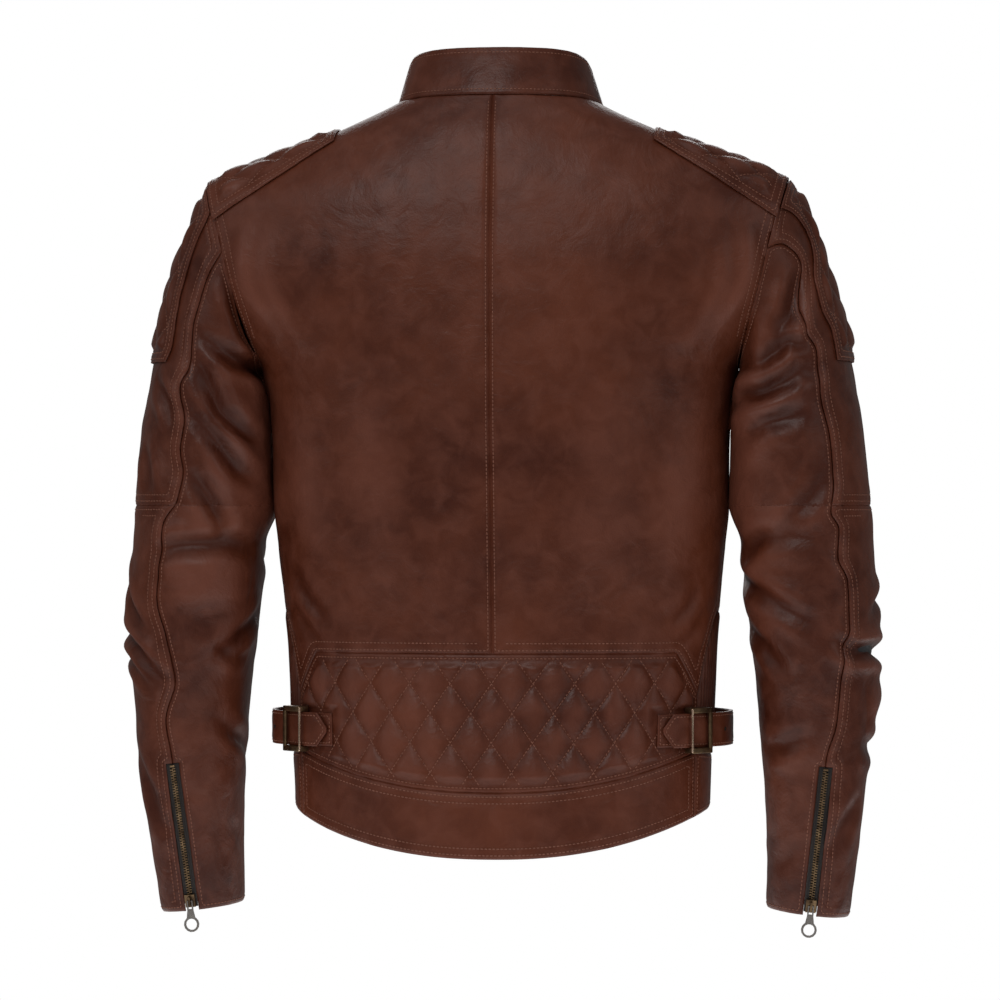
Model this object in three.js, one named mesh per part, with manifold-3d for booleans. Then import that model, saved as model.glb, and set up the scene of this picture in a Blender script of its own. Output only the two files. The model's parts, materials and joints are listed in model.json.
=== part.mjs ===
// Leather riding jacket: quilted shoulders and lower back, zipped front, cuffs and hand pockets,
// buckled waist straps, armour pads inside. Millimetres, +Z up, +X the wearer's left, -Y the front.
// The origin is the top of the hanger loop at the centre back of the neck.
import * as THREE from "three";
import { mergeVertices } from "three/addons/utils/BufferGeometryUtils.js";
import Module from "manifold-3d";

const wasm = await Module();
wasm.setup();

// ---------------------------------------------------------------- driving dimensions
const LEATHER = 2.4; // shell wall: leather, interlining and turned seams
const LINING = 1.2;
const LINING_AIR = 5.0; // space between the shell and the lining
const SEAM = 0.6; // clearance between neighbouring panels
const TOUCH = 0.35; // clearance between pieces that rest on each other

const NECK_HALF = 90;
const NECK_BACK_Y = 13;
const NECK_DEPTH = 178; // centre back to centre front of the neck seam
const NECK_FRONT_DROP = 60;
const SHOULDER_HALF = 250;
const SHOULDER_DROP = 67;
const ARMPIT_HALF = 205;
const ARMPIT_DROP = 238;
const CHEST_HALF = 199;
const WAIST_HALF = 186;
const HEM_HALF = 181;
const SIDE_LENGTH = 612; // neck seam down to the hem at the sides
const TAIL_DROP = 37; // how much lower the hem is at the centre back
const BAND_BACK = 56; // hem band height at the centre back
const BAND_SIDE = 56; // and at its two ends
const QUILT_HEIGHT = 117; // lower back panel at the centre back
const QUILT_CORNER = 36; // how far its upper corners are cut down
const QUILT_END = 22; // degrees round from the side to the quilt's end
const SIDE_PANEL_FRONT = -18;
const FRONT_LEAN = 0.0616; // centre front leans out by this much per mm down
const ROUNDNESS = 2.3; // superellipse exponent of the rings

const SLEEVE_LENGTH = 639; // shoulder point to cuff, measured straight down
const ARMHOLE_DEPTH = 80; // half the armhole, front to back
const ELBOW_DROP = 328; // shoulder point to the elbow bend
const ELBOW_FOLD = 41; // half the angle that the elbow crease leaves open, degrees
const CUFF_HALF = 35.5;
const CUFF_DEPTH = 47;

const COLLAR_BACK = 40;
const COLLAR_FRONT = 38;
const COLLAR_WALL = 4;
const COLLAR_TOP_HALF = 78;

const STRAP_HEIGHT = 29;
const STRAP_WALL = 2.5;
const STRAP_Z = -542;
const BAR = 2.4; // buckle bar diameter
const CHAPE_WALL = 1.4;
const FRAME_WIDTH = 24;
const FRAME_HEIGHT = STRAP_HEIGHT + 10;
const ROCK_AIR = 1.7; // room for the frame to rock on the strap

// ---------------------------------------------------------------- materials
const finish = (color, roughness, metalness = 0) =>
  new THREE.MeshStandardMaterial({ color, roughness, metalness });
const leather = finish(0x4a2418, 0.48);
const quilted = finish(0x4e281c, 0.5);
const trim = finish(0x3c1c12, 0.5);
const cloth = finish(0x1d1a19, 0.9);
const foam = finish(0x2b2d30, 0.8);
const brass = finish(0x6d5434, 0.35, 1);
const nickel = finish(0xa09a92, 0.25, 1);

// ---------------------------------------------------------------- helpers
const FAR = 500; // reach of the cutting solids
const rad = THREE.MathUtils.degToRad;
const mix = THREE.MathUtils.lerp;
const signedPower = (v, p) => Math.sign(v) * Math.abs(v) ** p;

/** A smooth curve y(x) through [x, y] pairs that never overshoots them. */
function smoothCurve(pairs) {
  const last = pairs.length - 1;
  const slope = pairs.slice(1).map(([x, y], i) => (y - pairs[i][1]) / (x - pairs[i][0]));
  const tangent = pairs.map((_, i) => {
    if (i === 0) return slope[0];
    if (i === last) return slope[last - 1];
    const [a, b] = [slope[i - 1], slope[i]];
    return a * b <= 0 ? 0 : (2 * a * b) / (a + b);
  });
  return (x) => {
    if (x <= pairs[0][0]) return pairs[0][1];
    if (x >= pairs[last][0]) return pairs[last][1];
    const i = pairs.findIndex(([right], k) => k > 0 && x <= right) - 1;
    const [[x0, y0], [x1, y1]] = [pairs[i], pairs[i + 1]];
    const w = x1 - x0;
    const s = (x - x0) / w;
    const rise = s * s * (3 - 2 * s);
    return y0 + (y1 - y0) * rise
      + w * s * (1 - s) * ((1 - s) * tangent[i] - s * tangent[i + 1]);
  };
}

/** A geometry as a manifold-3d solid, facing outwards. */
function solid(geometry) {
  const bare = geometry.clone();
  bare.deleteAttribute("normal");
  bare.deleteAttribute("uv");
  const merged = mergeVertices(bare, 1e-4);
  const kept = [];
  for (let i = 0; i < merged.index.count; i += 3) {
    const [p, q, r] = merged.index.array.subarray(i, i + 3);
    if (p !== q && q !== r && r !== p) kept.push(p, q, r);
  }
  const triVerts = new Uint32Array(kept);
  const make = () => new wasm.Manifold(
    new wasm.Mesh({ numProp: 3, vertProperties: merged.attributes.position.array, triVerts }),
  );
  const made = make();
  if (made.volume() >= 0) return made;
  for (let i = 0; i < triVerts.length; i += 3) {
    [triVerts[i], triVerts[i + 1]] = [triVerts[i + 1], triVerts[i]];
  }
  return make();
}

/** A manifold-3d solid as a three.js geometry. */
function geometryOf(body) {
  const { numProp, numVert, vertProperties, triVerts } = body.getMesh();
  const points = new Float32Array(numVert * 3);
  for (let i = 0; i < numVert; i++) {
    points.set(vertProperties.subarray(i * numProp, i * numProp + 3), i * 3);
  }
  return new THREE.BufferGeometry()
    .setAttribute("position", new THREE.BufferAttribute(points, 3))
    .setIndex(new THREE.BufferAttribute(triVerts, 1));
}

/** The outward normal of a surface (a, b) -> point. */
function normalAt(surface, a, b, stepA = 0.2, stepB = 0.2) {
  const alongA = surface(a + stepA, b).sub(surface(a - stepA, b));
  const alongB = surface(a, b + stepB).sub(surface(a, b - stepB));
  return alongA.cross(alongB).normalize();
}

/**
 * A curved sheet with thickness over a region of a surface. a runs from aRange[0] to aRange[1];
 * bLow(a) and bHigh(a) bound the other way. outer and inner are offsets along the normal.
 */
function sheet(surface, aRange, bLow, bHigh, { cells, outer = 0, inner = -LEATHER, stepB = 0.2 }) {
  const [na, nb] = cells;
  const points = [];
  for (const offset of [outer, inner]) {
    for (let j = 0; j <= nb; j++) {
      for (let i = 0; i <= na; i++) {
        const a = mix(...aRange, i / na);
        const b = mix(bLow(a), bHigh(a), j / nb);
        const p = surface(a, b).addScaledVector(normalAt(surface, a, b, 0.2, stepB), offset);
        points.push(p.x, p.y, p.z);
      }
    }
  }
  const layer = (na + 1) * (nb + 1);
  const at = (i, j, k) => k * layer + j * (na + 1) + i;
  const faces = [];
  const quad = (p, q, r, s) => faces.push(p, q, r, p, r, s);
  for (let j = 0; j < nb; j++) {
    for (let i = 0; i < na; i++) {
      quad(at(i, j, 0), at(i + 1, j, 0), at(i + 1, j + 1, 0), at(i, j + 1, 0));
      quad(at(i, j, 1), at(i, j + 1, 1), at(i + 1, j + 1, 1), at(i + 1, j, 1));
    }
    quad(at(0, j, 0), at(0, j + 1, 0), at(0, j + 1, 1), at(0, j, 1));
    quad(at(na, j, 0), at(na, j, 1), at(na, j + 1, 1), at(na, j + 1, 0));
  }
  for (let i = 0; i < na; i++) {
    quad(at(i, 0, 0), at(i, 0, 1), at(i + 1, 0, 1), at(i + 1, 0, 0));
    quad(at(i, nb, 0), at(i + 1, nb, 0), at(i + 1, nb, 1), at(i, nb, 1));
  }
  const geometry = new THREE.BufferGeometry()
    .setAttribute("position", new THREE.Float32BufferAttribute(points, 3))
    .setIndex(faces);
  return solid(geometry);
}

/** A box between two corners, as a solid, optionally placed by a matrix. */
function block(low, high, matrix) {
  const size = new THREE.Vector3(...high).sub(new THREE.Vector3(...low));
  const centre = new THREE.Vector3(...low).addScaledVector(size, 0.5);
  const g = new THREE.BoxGeometry(...size.toArray()).translate(...centre.toArray());
  return solid(matrix ? g.applyMatrix4(matrix) : g);
}

/** A closed outline through [x, y] corners, anticlockwise. */
const outline = (corners) => new THREE.Shape(corners.map(([x, y]) => new THREE.Vector2(x, y)));

/** An outline in XY, raised from z0 to z1, as a solid. */
function raised(shape, z0, z1, curveSegments = 10) {
  const g = new THREE.ExtrudeGeometry(shape, { depth: z1 - z0, bevelEnabled: false, curveSegments });
  return solid(g.translate(0, 0, z0));
}

const mirrorX = (body) => body.mirror([1, 0, 0]);

const group = new THREE.Group();
const leftSide = new THREE.Group(); // mirrored as the right side at the end
group.add(leftSide);

/** Adds a solid as a named mesh, without the specks that a cut may leave. */
function add(name, body, material, parent = group) {
  const bodies = body.decompose().sort((a, b) => b.volume() - a.volume());
  const specks = bodies.slice(1).filter((b) => b.volume() > 1);
  if (specks.length) throw new Error(`${name} fell into ${specks.length + 1} pieces`);
  const mesh = new THREE.Mesh(geometryOf(bodies[0]), material);
  mesh.name = name;
  parent.add(mesh);
  return mesh;
}

// ---------------------------------------------------------------- torso form
// Rings around the body: u in degrees, 0 at the left side, 90 at the centre back; h is the
// ring's height at the centre back.
const HEM_LOW = -(SIDE_LENGTH + TAIL_DROP + 16);
const WAIST_Z = -(SIDE_LENGTH + TAIL_DROP - BAND_BACK - QUILT_HEIGHT);
const neckFrontY = NECK_BACK_Y - NECK_DEPTH;
const slopePerMm = (SHOULDER_HALF - NECK_HALF) / SHOULDER_DROP;

const halfWidth = smoothCurve([
  [HEM_LOW, HEM_HALF - 1],
  [-SIDE_LENGTH, HEM_HALF],
  [WAIST_Z, WAIST_HALF],
  [mix(WAIST_Z, -ARMPIT_DROP, 0.45), mix(WAIST_HALF, CHEST_HALF, 0.7)],
  [-ARMPIT_DROP - 24, CHEST_HALF],
  [-ARMPIT_DROP + 6, ARMPIT_HALF + 2],
  [-ARMPIT_DROP + 35, ARMPIT_HALF + 30],
  [-ARMPIT_DROP + 88, SHOULDER_HALF + 36],
  [-SHOULDER_DROP - 33, SHOULDER_HALF + 44],
  [-SHOULDER_DROP - 14, SHOULDER_HALF + 30],
  [-SHOULDER_DROP, SHOULDER_HALF + 1],
  [-SHOULDER_DROP * 0.7, NECK_HALF + SHOULDER_DROP * 0.68 * slopePerMm],
  [-SHOULDER_DROP * 0.3, NECK_HALF + SHOULDER_DROP * 0.27 * slopePerMm],
  [0, NECK_HALF],
]);
const backY = smoothCurve([
  [HEM_LOW, 33],
  [-SIDE_LENGTH, 30],
  [WAIST_Z, 22],
  [mix(WAIST_Z, -ARMPIT_DROP, 0.45), 33],
  [-ARMPIT_DROP, 46],
  [-ARMPIT_DROP + 90, 47],
  [-SHOULDER_DROP - 30, 42],
  [-SHOULDER_DROP, 36],
  [-SHOULDER_DROP * 0.4, 26],
  [0, NECK_BACK_Y],
]);
const frontDrop = smoothCurve([
  [-ARMPIT_DROP - 12, 0],
  [-ARMPIT_DROP + 88, 14],
  [-SHOULDER_DROP, 40],
  [0, NECK_FRONT_DROP],
]);
const frontY = (h) => neckFrontY + FRONT_LEAN * (h - frontDrop(h) + NECK_FRONT_DROP);

function torso(u, h) {
  const [back, front] = [backY(h), frontY(h)];
  const x = halfWidth(h) * signedPower(Math.cos(rad(u)), 2 / ROUNDNESS);
  const y = (back + front) / 2 + ((back - front) / 2) * signedPower(Math.sin(rad(u)), 2 / ROUNDNESS);
  const share = Math.max(0, (back - y) / (back - front));
  return new THREE.Vector3(x, y, h - frontDrop(h) * share ** 2.3);
}

/** True where a point lies inside the torso form. */
function insideTorso(p) {
  let h = p.z;
  for (let pass = 0; pass < 12; pass++) {
    const share = THREE.MathUtils.clamp((backY(h) - p.y) / (backY(h) - frontY(h)), 0, 1);
    h = Math.min(0, p.z + frontDrop(h) * share ** 2.3);
  }
  const [back, front] = [backY(h), frontY(h)];
  const across = Math.abs(p.x) / halfWidth(h);
  const deep = Math.abs(p.y - (back + front) / 2) / ((back - front) / 2);
  return across ** ROUNDNESS + deep ** ROUNDNESS < 1;
}

// The armhole is a plane through the shoulder point and the armpit, square to the XZ plane.
const shoulderPoint = new THREE.Vector3(SHOULDER_HALF, 0, -SHOULDER_DROP);
const armpitPoint = new THREE.Vector3(ARMPIT_HALF, 0, -ARMPIT_DROP);
const upArmhole = shoulderPoint.clone().sub(armpitPoint).normalize();
const outArmhole = new THREE.Vector3(upArmhole.z, 0, -upArmhole.x);
const armholeAt = outArmhole.dot(shoulderPoint);

/** What lies beyond the left armhole plane, above the armpit, and the same on the right. */
const beyondArmhole = block([0, -FAR, -ARMPIT_DROP - 3], [FAR, FAR, FAR])
  .trimByPlane(outArmhole.toArray(), armholeAt - SEAM / 2);
const beyondBoth = beyondArmhole.add(mirrorX(beyondArmhole));
const insideArmholes = (body) => body.subtract(beyondBoth);

// ---------------------------------------------------------------- zips
// Each zip has its own frame: +y from the bottom end to the top end, +z out of the leather.
const ZIP_SLOT = 12;
const TAPE_WALL = 1.4;
const CHAIN_WIDTH = 5.4;
const CHAIN_HEIGHT = 2;
const SLIDER_LENGTH = 11;
const PULL_AIR = 0.4;

function zipFrame(bottom, top, outwards, lift) {
  const along = top.clone().sub(bottom).normalize();
  const across = along.clone().cross(outwards).normalize();
  const out = across.clone().cross(along);
  const matrix = new THREE.Matrix4().makeBasis(across, along, out);
  matrix.setPosition(bottom.clone().addScaledVector(out, lift));
  return { matrix, length: bottom.distanceTo(top) };
}

/** Tape with the closed chain of teeth along its middle. */
function zipTape(length) {
  const tape = block([-ZIP_SLOT / 2 + TOUCH, 0, -TAPE_WALL], [ZIP_SLOT / 2 - TOUCH, length, 0]);
  const chain = block([-CHAIN_WIDTH / 2, 1, -0.2], [CHAIN_WIDTH / 2, length - 2, CHAIN_HEIGHT]);
  return tape.add(chain);
}

/** Slider: a plate over the chain, a flange each side and a bridge along the top. */
const plateLow = CHAIN_HEIGHT + PULL_AIR;
const plateTop = plateLow + 1.8;
const bridgeLow = plateTop + 1.9;
const bridgeTop = bridgeLow + 1.3;
function zipSlider() {
  const half = CHAIN_WIDTH / 2 + PULL_AIR + 1.3;
  const plate = block([-half, 0, plateLow], [half, SLIDER_LENGTH, plateTop]);
  const flange = block([-half, 0, PULL_AIR], [-half + 1.3, SLIDER_LENGTH, plateTop - 0.2]);
  const posts = block([-0.9, 1.4, plateTop - 0.2], [0.9, SLIDER_LENGTH - 1.4, bridgeTop]);
  const under = block([-2, 3, plateTop], [2, SLIDER_LENGTH - 3, bridgeLow]);
  return plate.add(flange).add(mirrorX(flange)).add(posts.subtract(under));
}

/** Pull: a loop under the bridge, a tapered tab and a ring, hanging towards -y from its pivot. */
const PULL_PIVOT_Y = SLIDER_LENGTH / 2;
const PULL_PIVOT_Z = plateTop + 0.95;
const PULL_WALL = 1.1;
const RING_RADIUS = 6.8;
const RING_HOLE = 4.9;
const TAB_END = 15;
function zipPull() {
  const tab = outline([
    [2.7, 0.55], [-2.7, 0.55], [-2.7, -8], [-3.9, -TAB_END], [3.9, -TAB_END], [2.7, -8],
  ]);
  tab.holes.push(outline([[-1.5, -0.55], [1.5, -0.55], [1.5, -6.6], [-1.5, -6.6]]));
  const ring = new THREE.Shape().absarc(0, -TAB_END - RING_HOLE, RING_RADIUS, 0, 2 * Math.PI);
  const hole = new THREE.Shape().absarc(0, -TAB_END - RING_HOLE, RING_HOLE, 0, 2 * Math.PI);
  const [z0, z1] = [-PULL_WALL / 2, PULL_WALL / 2];
  return raised(tab, z0, z1).add(raised(ring, z0, z1, 7)).subtract(raised(hole, z0 - 1, z1 + 1, 7));
}

/** How far a free pull swings out of its zip's plane to hang straight down, in degrees. */
function hangAngle(frame) {
  const along = new THREE.Vector3().setFromMatrixColumn(frame.matrix, 1);
  const out = new THREE.Vector3().setFromMatrixColumn(frame.matrix, 2);
  return Math.max(0, Math.atan2(-out.z, along.z) * (180 / Math.PI));
}

/** Adds one zip's tape, slider and pull. sliderAt is the slider's lower end along the zip. */
function addZip(name, frame, sliderAt, parent) {
  const suffix = parent === leftSide ? "_left" : "";
  const place = (body, y, z) => solid(
    geometryOf(body.translate([0, y, z])).applyMatrix4(frame.matrix),
  );
  add(`${name}_zip_tape${suffix}`, place(zipTape(frame.length), 0, 0), cloth, parent);
  add(`${name}_zip_slider${suffix}`, place(zipSlider(), sliderAt, 0), brass, parent);
  add(`${name}_zip_pull${suffix}`,
    place(zipPull().rotate([-hangAngle(frame), 0, 0]), sliderAt + PULL_PIVOT_Y, PULL_PIVOT_Z),
    nickel, parent);
}
/** The slot that a zip leaves in the leather, run on past the tape's ends by below and above. */
const zipSlot = (frame, below, above) => block(
  [-ZIP_SLOT / 2, -below, -12], [ZIP_SLOT / 2, frame.length + above, 12], frame.matrix,
);

// ---------------------------------------------------------------- torso panels
const seamDegrees = (SEAM / 2 / CHEST_HALF) * (180 / Math.PI);
const hemHeight = (u) => -SIDE_LENGTH - TAIL_DROP * Math.max(0, Math.sin(rad(u))) ** 2;
const bandSeam = (u) =>
  hemHeight(u) + mix(BAND_SIDE, BAND_BACK, Math.max(0, Math.sin(rad(u))) ** 2);
const QUILT_CELLS = 20;
const QUILT_CLIP = (2 * (180 - 2 * QUILT_END)) / QUILT_CELLS; // two cells, in degrees
/** The lower back panel's top edge: level, with its two ends cut down at an angle. */
function quiltTop(u) {
  const fromEnd = Math.min(u - QUILT_END, 180 - QUILT_END - u);
  return WAIST_Z - QUILT_CORNER * Math.max(0, 1 - fromEnd / QUILT_CLIP);
}
const sideTop = () => -ARMPIT_DROP - 26;
const neckSeam = () => -3 * SEAM;
const low = (f) => (u) => f(u) + SEAM / 2;
const high = (f) => (u) => f(u) - SEAM / 2;
const torsoSheet = (from, to, bottom, top, options) =>
  sheet(torso, [from + seamDegrees, to - seamDegrees], bottom, top, options);

// The quilted shoulder patch is cut from the same form: above this slanted line, outside NECK_SIDE.
const PATCH_INNER_X = 136;
const PATCH_KNEE = [147, -47];
const PATCH_TAIL = [236, -104];
const patchLine = new THREE.Vector2(...PATCH_TAIL).sub(new THREE.Vector2(...PATCH_KNEE));
const patchUp = new THREE.Vector3(-patchLine.y, 0, patchLine.x).normalize();
const patchAt = patchUp.dot(new THREE.Vector3(PATCH_KNEE[0], 0, PATCH_KNEE[1]));
const patchZone = (grow) => {
  const zone = block([PATCH_INNER_X - grow, -FAR, -FAR], [FAR, FAR, FAR]);
  return zone.trimByPlane(patchUp.toArray(), patchAt - grow);
};
const frontFrame = zipFrame(
  torso(270, -SIDE_LENGTH + 4), torso(270, -4), new THREE.Vector3(0, -1, 0), -1.2,
);
const frontSlot = zipSlot(frontFrame, FAR, FAR);
const backRegion = () => torsoSheet(
  QUILT_END, 90, low(quiltTop), neckSeam, { cells: [QUILT_CELLS / 2, 15] },
);
const frontRegion = () => torsoSheet(
  270, 360 + SIDE_PANEL_FRONT, low(frontBand), neckSeam, { cells: [8, 16] },
);
const FRONT_BAND = 44;
const frontBand = () => -SIDE_LENGTH + FRONT_BAND;
const upperSide = (from, to) => torsoSheet(
  from, to, () => sideTop() + SEAM, neckSeam, { cells: [4, 10] },
);

const shoulderHole = patchZone(SEAM / 2);
const backLeft = insideArmholes(backRegion().add(upperSide(-2, QUILT_END + 4)))
  .subtract(shoulderHole);
const frontLeft = insideArmholes(frontRegion().add(upperSide(SIDE_PANEL_FRONT - 4, -3)))
  .subtract(shoulderHole)
  .subtract(frontSlot);
const shoulderPatch = insideArmholes(
  torsoSheet(-90, 90, () => -SHOULDER_DROP - 70, neckSeam, { cells: [20, 9] }),
).intersect(patchZone(-SEAM / 2));

add("side_panel_left", torsoSheet(
  SIDE_PANEL_FRONT + SEAM, QUILT_END - SEAM, low(hemHeight), () => sideTop() - SEAM, { cells: [4, 7] },
), trim, leftSide);
add("shoulder_quilt_left", shoulderPatch, quilted, leftSide);
add("front_hem_band_left", torsoSheet(
  270, 360 + SIDE_PANEL_FRONT, low(hemHeight), high(frontBand), { cells: [10, 2] },
).subtract(frontSlot), leather, leftSide);
add("lower_back_quilt", torsoSheet(
  QUILT_END, 180 - QUILT_END, low(bandSeam), high(quiltTop), { cells: [QUILT_CELLS, 4] },
), quilted);
add("back_hem_band", torsoSheet(
  QUILT_END, 180 - QUILT_END, low(hemHeight), high(bandSeam), { cells: [QUILT_CELLS, 2] },
), leather);

// ---------------------------------------------------------------- sleeve form
// Rings along the arm: t from 0 at the armhole to 1 at the cuff; a in degrees, 0 outside, 90 behind.
const cuffZ = -SHOULDER_DROP - SLEEVE_LENGTH;
const elbowZ = -SHOULDER_DROP - ELBOW_DROP;
const alongSleeve = (values) => smoothCurve(values.map((v, i) => [SLEEVE_STATIONS[i], v]));
const SLEEVE_STATIONS = [0, 0.14, 0.28, 0.42, 0.52, 0.62, 0.76, 0.88, 1];
const outerX = alongSleeve([0, 32, 55, 67, 72, 76, 71, 62, 51].map((v) => SHOULDER_HALF + v));
const outerZ = alongSleeve([
  -SHOULDER_DROP, mix(-SHOULDER_DROP, elbowZ, 0.25), mix(-SHOULDER_DROP, elbowZ, 0.51),
  mix(-SHOULDER_DROP, elbowZ, 0.76), mix(-SHOULDER_DROP, elbowZ, 0.94),
  mix(elbowZ, cuffZ, 0.18), mix(elbowZ, cuffZ, 0.47), mix(elbowZ, cuffZ, 0.74), cuffZ,
]);
const cuffX = SHOULDER_HALF + 51 - 2 * CUFF_HALF;
const innerX = alongSleeve([
  ARMPIT_HALF, ARMPIT_HALF + 2.5, ARMPIT_HALF + 3, ARMPIT_HALF + 3, ARMPIT_HALF + 4,
  ARMPIT_HALF + 10, ARMPIT_HALF + 19, cuffX - 1, cuffX,
]);
const innerZ = alongSleeve([
  -ARMPIT_DROP, mix(-ARMPIT_DROP, elbowZ, 0.24), mix(-ARMPIT_DROP, elbowZ, 0.5),
  mix(-ARMPIT_DROP, elbowZ, 0.8), mix(elbowZ, cuffZ, 0.02), mix(elbowZ, cuffZ, 0.2),
  mix(elbowZ, cuffZ, 0.46), mix(elbowZ, cuffZ, 0.72), cuffZ + 8,
]);
const sleeveY = alongSleeve([-72, -72, -73, -75, -76, -77, -82, -88, -95]);
const sleeveDepth = alongSleeve([
  ARMHOLE_DEPTH, ARMHOLE_DEPTH - 1, 76, 72, 70, 68, 60, 53, CUFF_DEPTH,
]);

const BACK_SEAM = 80;
const FRONT_SEAM = -90;
/** How far the back seam strays from its angle along the sleeve, in degrees. */
const seamWander = smoothCurve([
  [0.08, 0], [0.3, -6], [0.5, -8], [0.66, -16], [0.8, 0], [1, 8],
]);

/** A point of the sleeve's plain rings, before the first ones are drawn onto the armhole. */
function plainSleeve(around, t) {
  const a = around + (seamWander(t) * (1 + Math.cos(rad(around - BACK_SEAM)))) / 2;
  const centre = new THREE.Vector3(
    (outerX(t) + innerX(t)) / 2, sleeveY(t), (outerZ(t) + innerZ(t)) / 2,
  );
  const across = signedPower(Math.cos(rad(a)), 2 / ROUNDNESS) / 2;
  const deep = signedPower(Math.sin(rad(a)), 2 / ROUNDNESS);
  return centre.add(new THREE.Vector3(
    (outerX(t) - innerX(t)) * across, sleeveDepth(t) * deep, (outerZ(t) - innerZ(t)) * across,
  ));
}

/** Where the armhole plane cuts the torso form, in the direction of angle a. */
const armholeCache = new Map();
function armhole(a) {
  if (armholeCache.has(a)) return armholeCache.get(a).clone();
  const centre = plainSleeve(0, 0).add(plainSleeve(180, 0)).multiplyScalar(0.5);
  const way = plainSleeve(a, 0).sub(centre);
  let [near, far] = [0.3, 1.6];
  for (let pass = 0; pass < 24; pass++) {
    const middle = (near + far) / 2;
    if (insideTorso(centre.clone().addScaledVector(way, middle))) near = middle;
    else far = middle;
  }
  const found = centre.addScaledVector(way, near);
  armholeCache.set(a, found);
  return found.clone();
}

const ARMHOLE_FADE = 0.3; // share of the sleeve over which the armhole's own shape fades out
const ARMHOLE_RUN = -0.02; // the tubes start this far inside the armhole and are cut back to it
function sleeve(a, t) {
  if (t < 0) return armhole(a).addScaledVector(outArmhole, t * SLEEVE_LENGTH);
  const plain = plainSleeve(a, t);
  const fade = Math.max(0, 1 - t / ARMHOLE_FADE) ** 2;
  if (fade === 0) return plain;
  return plain.add(armhole(a).sub(plainSleeve(a, 0)).multiplyScalar(fade));
}

// ---------------------------------------------------------------- sleeve panels
const CAP_EDGE = 58;
const CAP_END = 0.27;
const gapAngle = 0.35;
const gapT = SEAM / 2 / SLEEVE_LENGTH;
const sleeveSheet = (from, to, t0, t1, options) => sheet(
  sleeve, [to - gapAngle, from + gapAngle], () => t0 + gapT, () => t1 - gapT,
  { stepB: -0.002, ...options },
);
const outsideArmhole = (body) =>
  body.trimByPlane(outArmhole.toArray(), armholeAt + SEAM / 2);

// The elbow folds about a line through the sleeve's middle; the crease piece in front of it changes shape.
const ELBOW_Y = -76;
const ELBOW_CUT = 0.3;
const elbowPlane = (degrees, offset) => {
  const normal = [0, Math.sin(rad(degrees)), Math.cos(rad(degrees))];
  return { normal, at: normal[1] * ELBOW_Y + normal[2] * elbowZ + offset };
};
const keepAbove = (body, degrees) => {
  const plane = elbowPlane(degrees, ELBOW_CUT);
  return body.trimByPlane(plane.normal, plane.at);
};
const keepBelow = (body, degrees) => {
  const plane = elbowPlane(degrees, -ELBOW_CUT);
  return body.trimByPlane(plane.normal.map((v) => -v), -plane.at);
};
const aboveElbow = (body) => keepAbove(keepAbove(body, 0), ELBOW_FOLD);
const belowElbow = (body) => keepBelow(keepBelow(body, 0), -ELBOW_FOLD);
const inCrease = (body) => keepBelow(keepAbove(body, -ELBOW_FOLD), ELBOW_FOLD)
  .trimByPlane([0, -1, 0], -(ELBOW_Y - 1.5));

const UPPER_T = 0.72; // the tubes are made past the fold and cut back to it
const LOWER_T = 0.38;
const OUTER_CELLS = 9; // cells from the back seam to the front seam
const UPPER_CELLS = 12;
const LOWER_CELLS = 8;
/** The part of the sleeve's head that the quilted cap takes up, grown by some degrees. */
const capZone = (grow) => sleeveSheet(
  -CAP_EDGE - grow, CAP_EDGE + grow, 2 * ARMHOLE_RUN, CAP_END + grow * 0.002,
  { cells: [8, 5], outer: 6, inner: -9 },
);
const outerUpper = outsideArmhole(sleeveSheet(FRONT_SEAM, BACK_SEAM, ARMHOLE_RUN, UPPER_T, {
  cells: [OUTER_CELLS, UPPER_CELLS],
}));
const underUpper = outsideArmhole(sleeveSheet(BACK_SEAM, 360 + FRONT_SEAM, ARMHOLE_RUN, UPPER_T, {
  cells: [9, UPPER_CELLS],
}));
const lowerSleeve = (from, to) =>
  sleeveSheet(from, to, LOWER_T, 1, { cells: [OUTER_CELLS, LOWER_CELLS] });
const outerLower = lowerSleeve(FRONT_SEAM, BACK_SEAM);
const underLower = lowerSleeve(BACK_SEAM, 360 + FRONT_SEAM);

add("sleeve_cap_quilt_left", outerUpper.intersect(capZone(-gapAngle)), quilted, leftSide);
add("sleeve_outer_left", aboveElbow(outerUpper.subtract(capZone(gapAngle))), leather, leftSide);
add("sleeve_under_left", aboveElbow(underUpper), leather, leftSide);
const creaseTube = outerUpper.add(underUpper);
const creaseBridge = sleeveSheet(FRONT_SEAM - 6, FRONT_SEAM + 6, LOWER_T, UPPER_T, { cells: [2, 8] });
add("elbow_crease_left", inCrease(creaseTube.add(creaseBridge)), trim, leftSide);

// ---------------------------------------------------------------- armour pads
// The pads share the sleeve's own grid lines, so the gap to the leather stays even.
const PAD = 9;
const padFace = { outer: -LEATHER - TOUCH, inner: -LEATHER - TOUCH - PAD };
const aroundLine = (k) => mix(BACK_SEAM - gapAngle, FRONT_SEAM + gapAngle, k / OUTER_CELLS);
const upperLine = (k) => mix(ARMHOLE_RUN + gapT, UPPER_T - gapT, k / UPPER_CELLS);
const lowerLine = (k) => mix(LOWER_T + gapT, 1 - gapT, k / LOWER_CELLS);
const padSheet = (k0, k1, t0, t1, rows) => sheet(
  sleeve, [aroundLine(k0), aroundLine(k1)], () => t0, () => t1,
  { stepB: -0.002, cells: [k1 - k0, rows], ...padFace },
);
add("shoulder_armour_left", padSheet(2, 7, upperLine(1), upperLine(4), 3), foam, leftSide);
add("elbow_armour_left", belowElbow(padSheet(1, 4, lowerLine(2), lowerLine(5), 3)), foam, leftSide);

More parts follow.
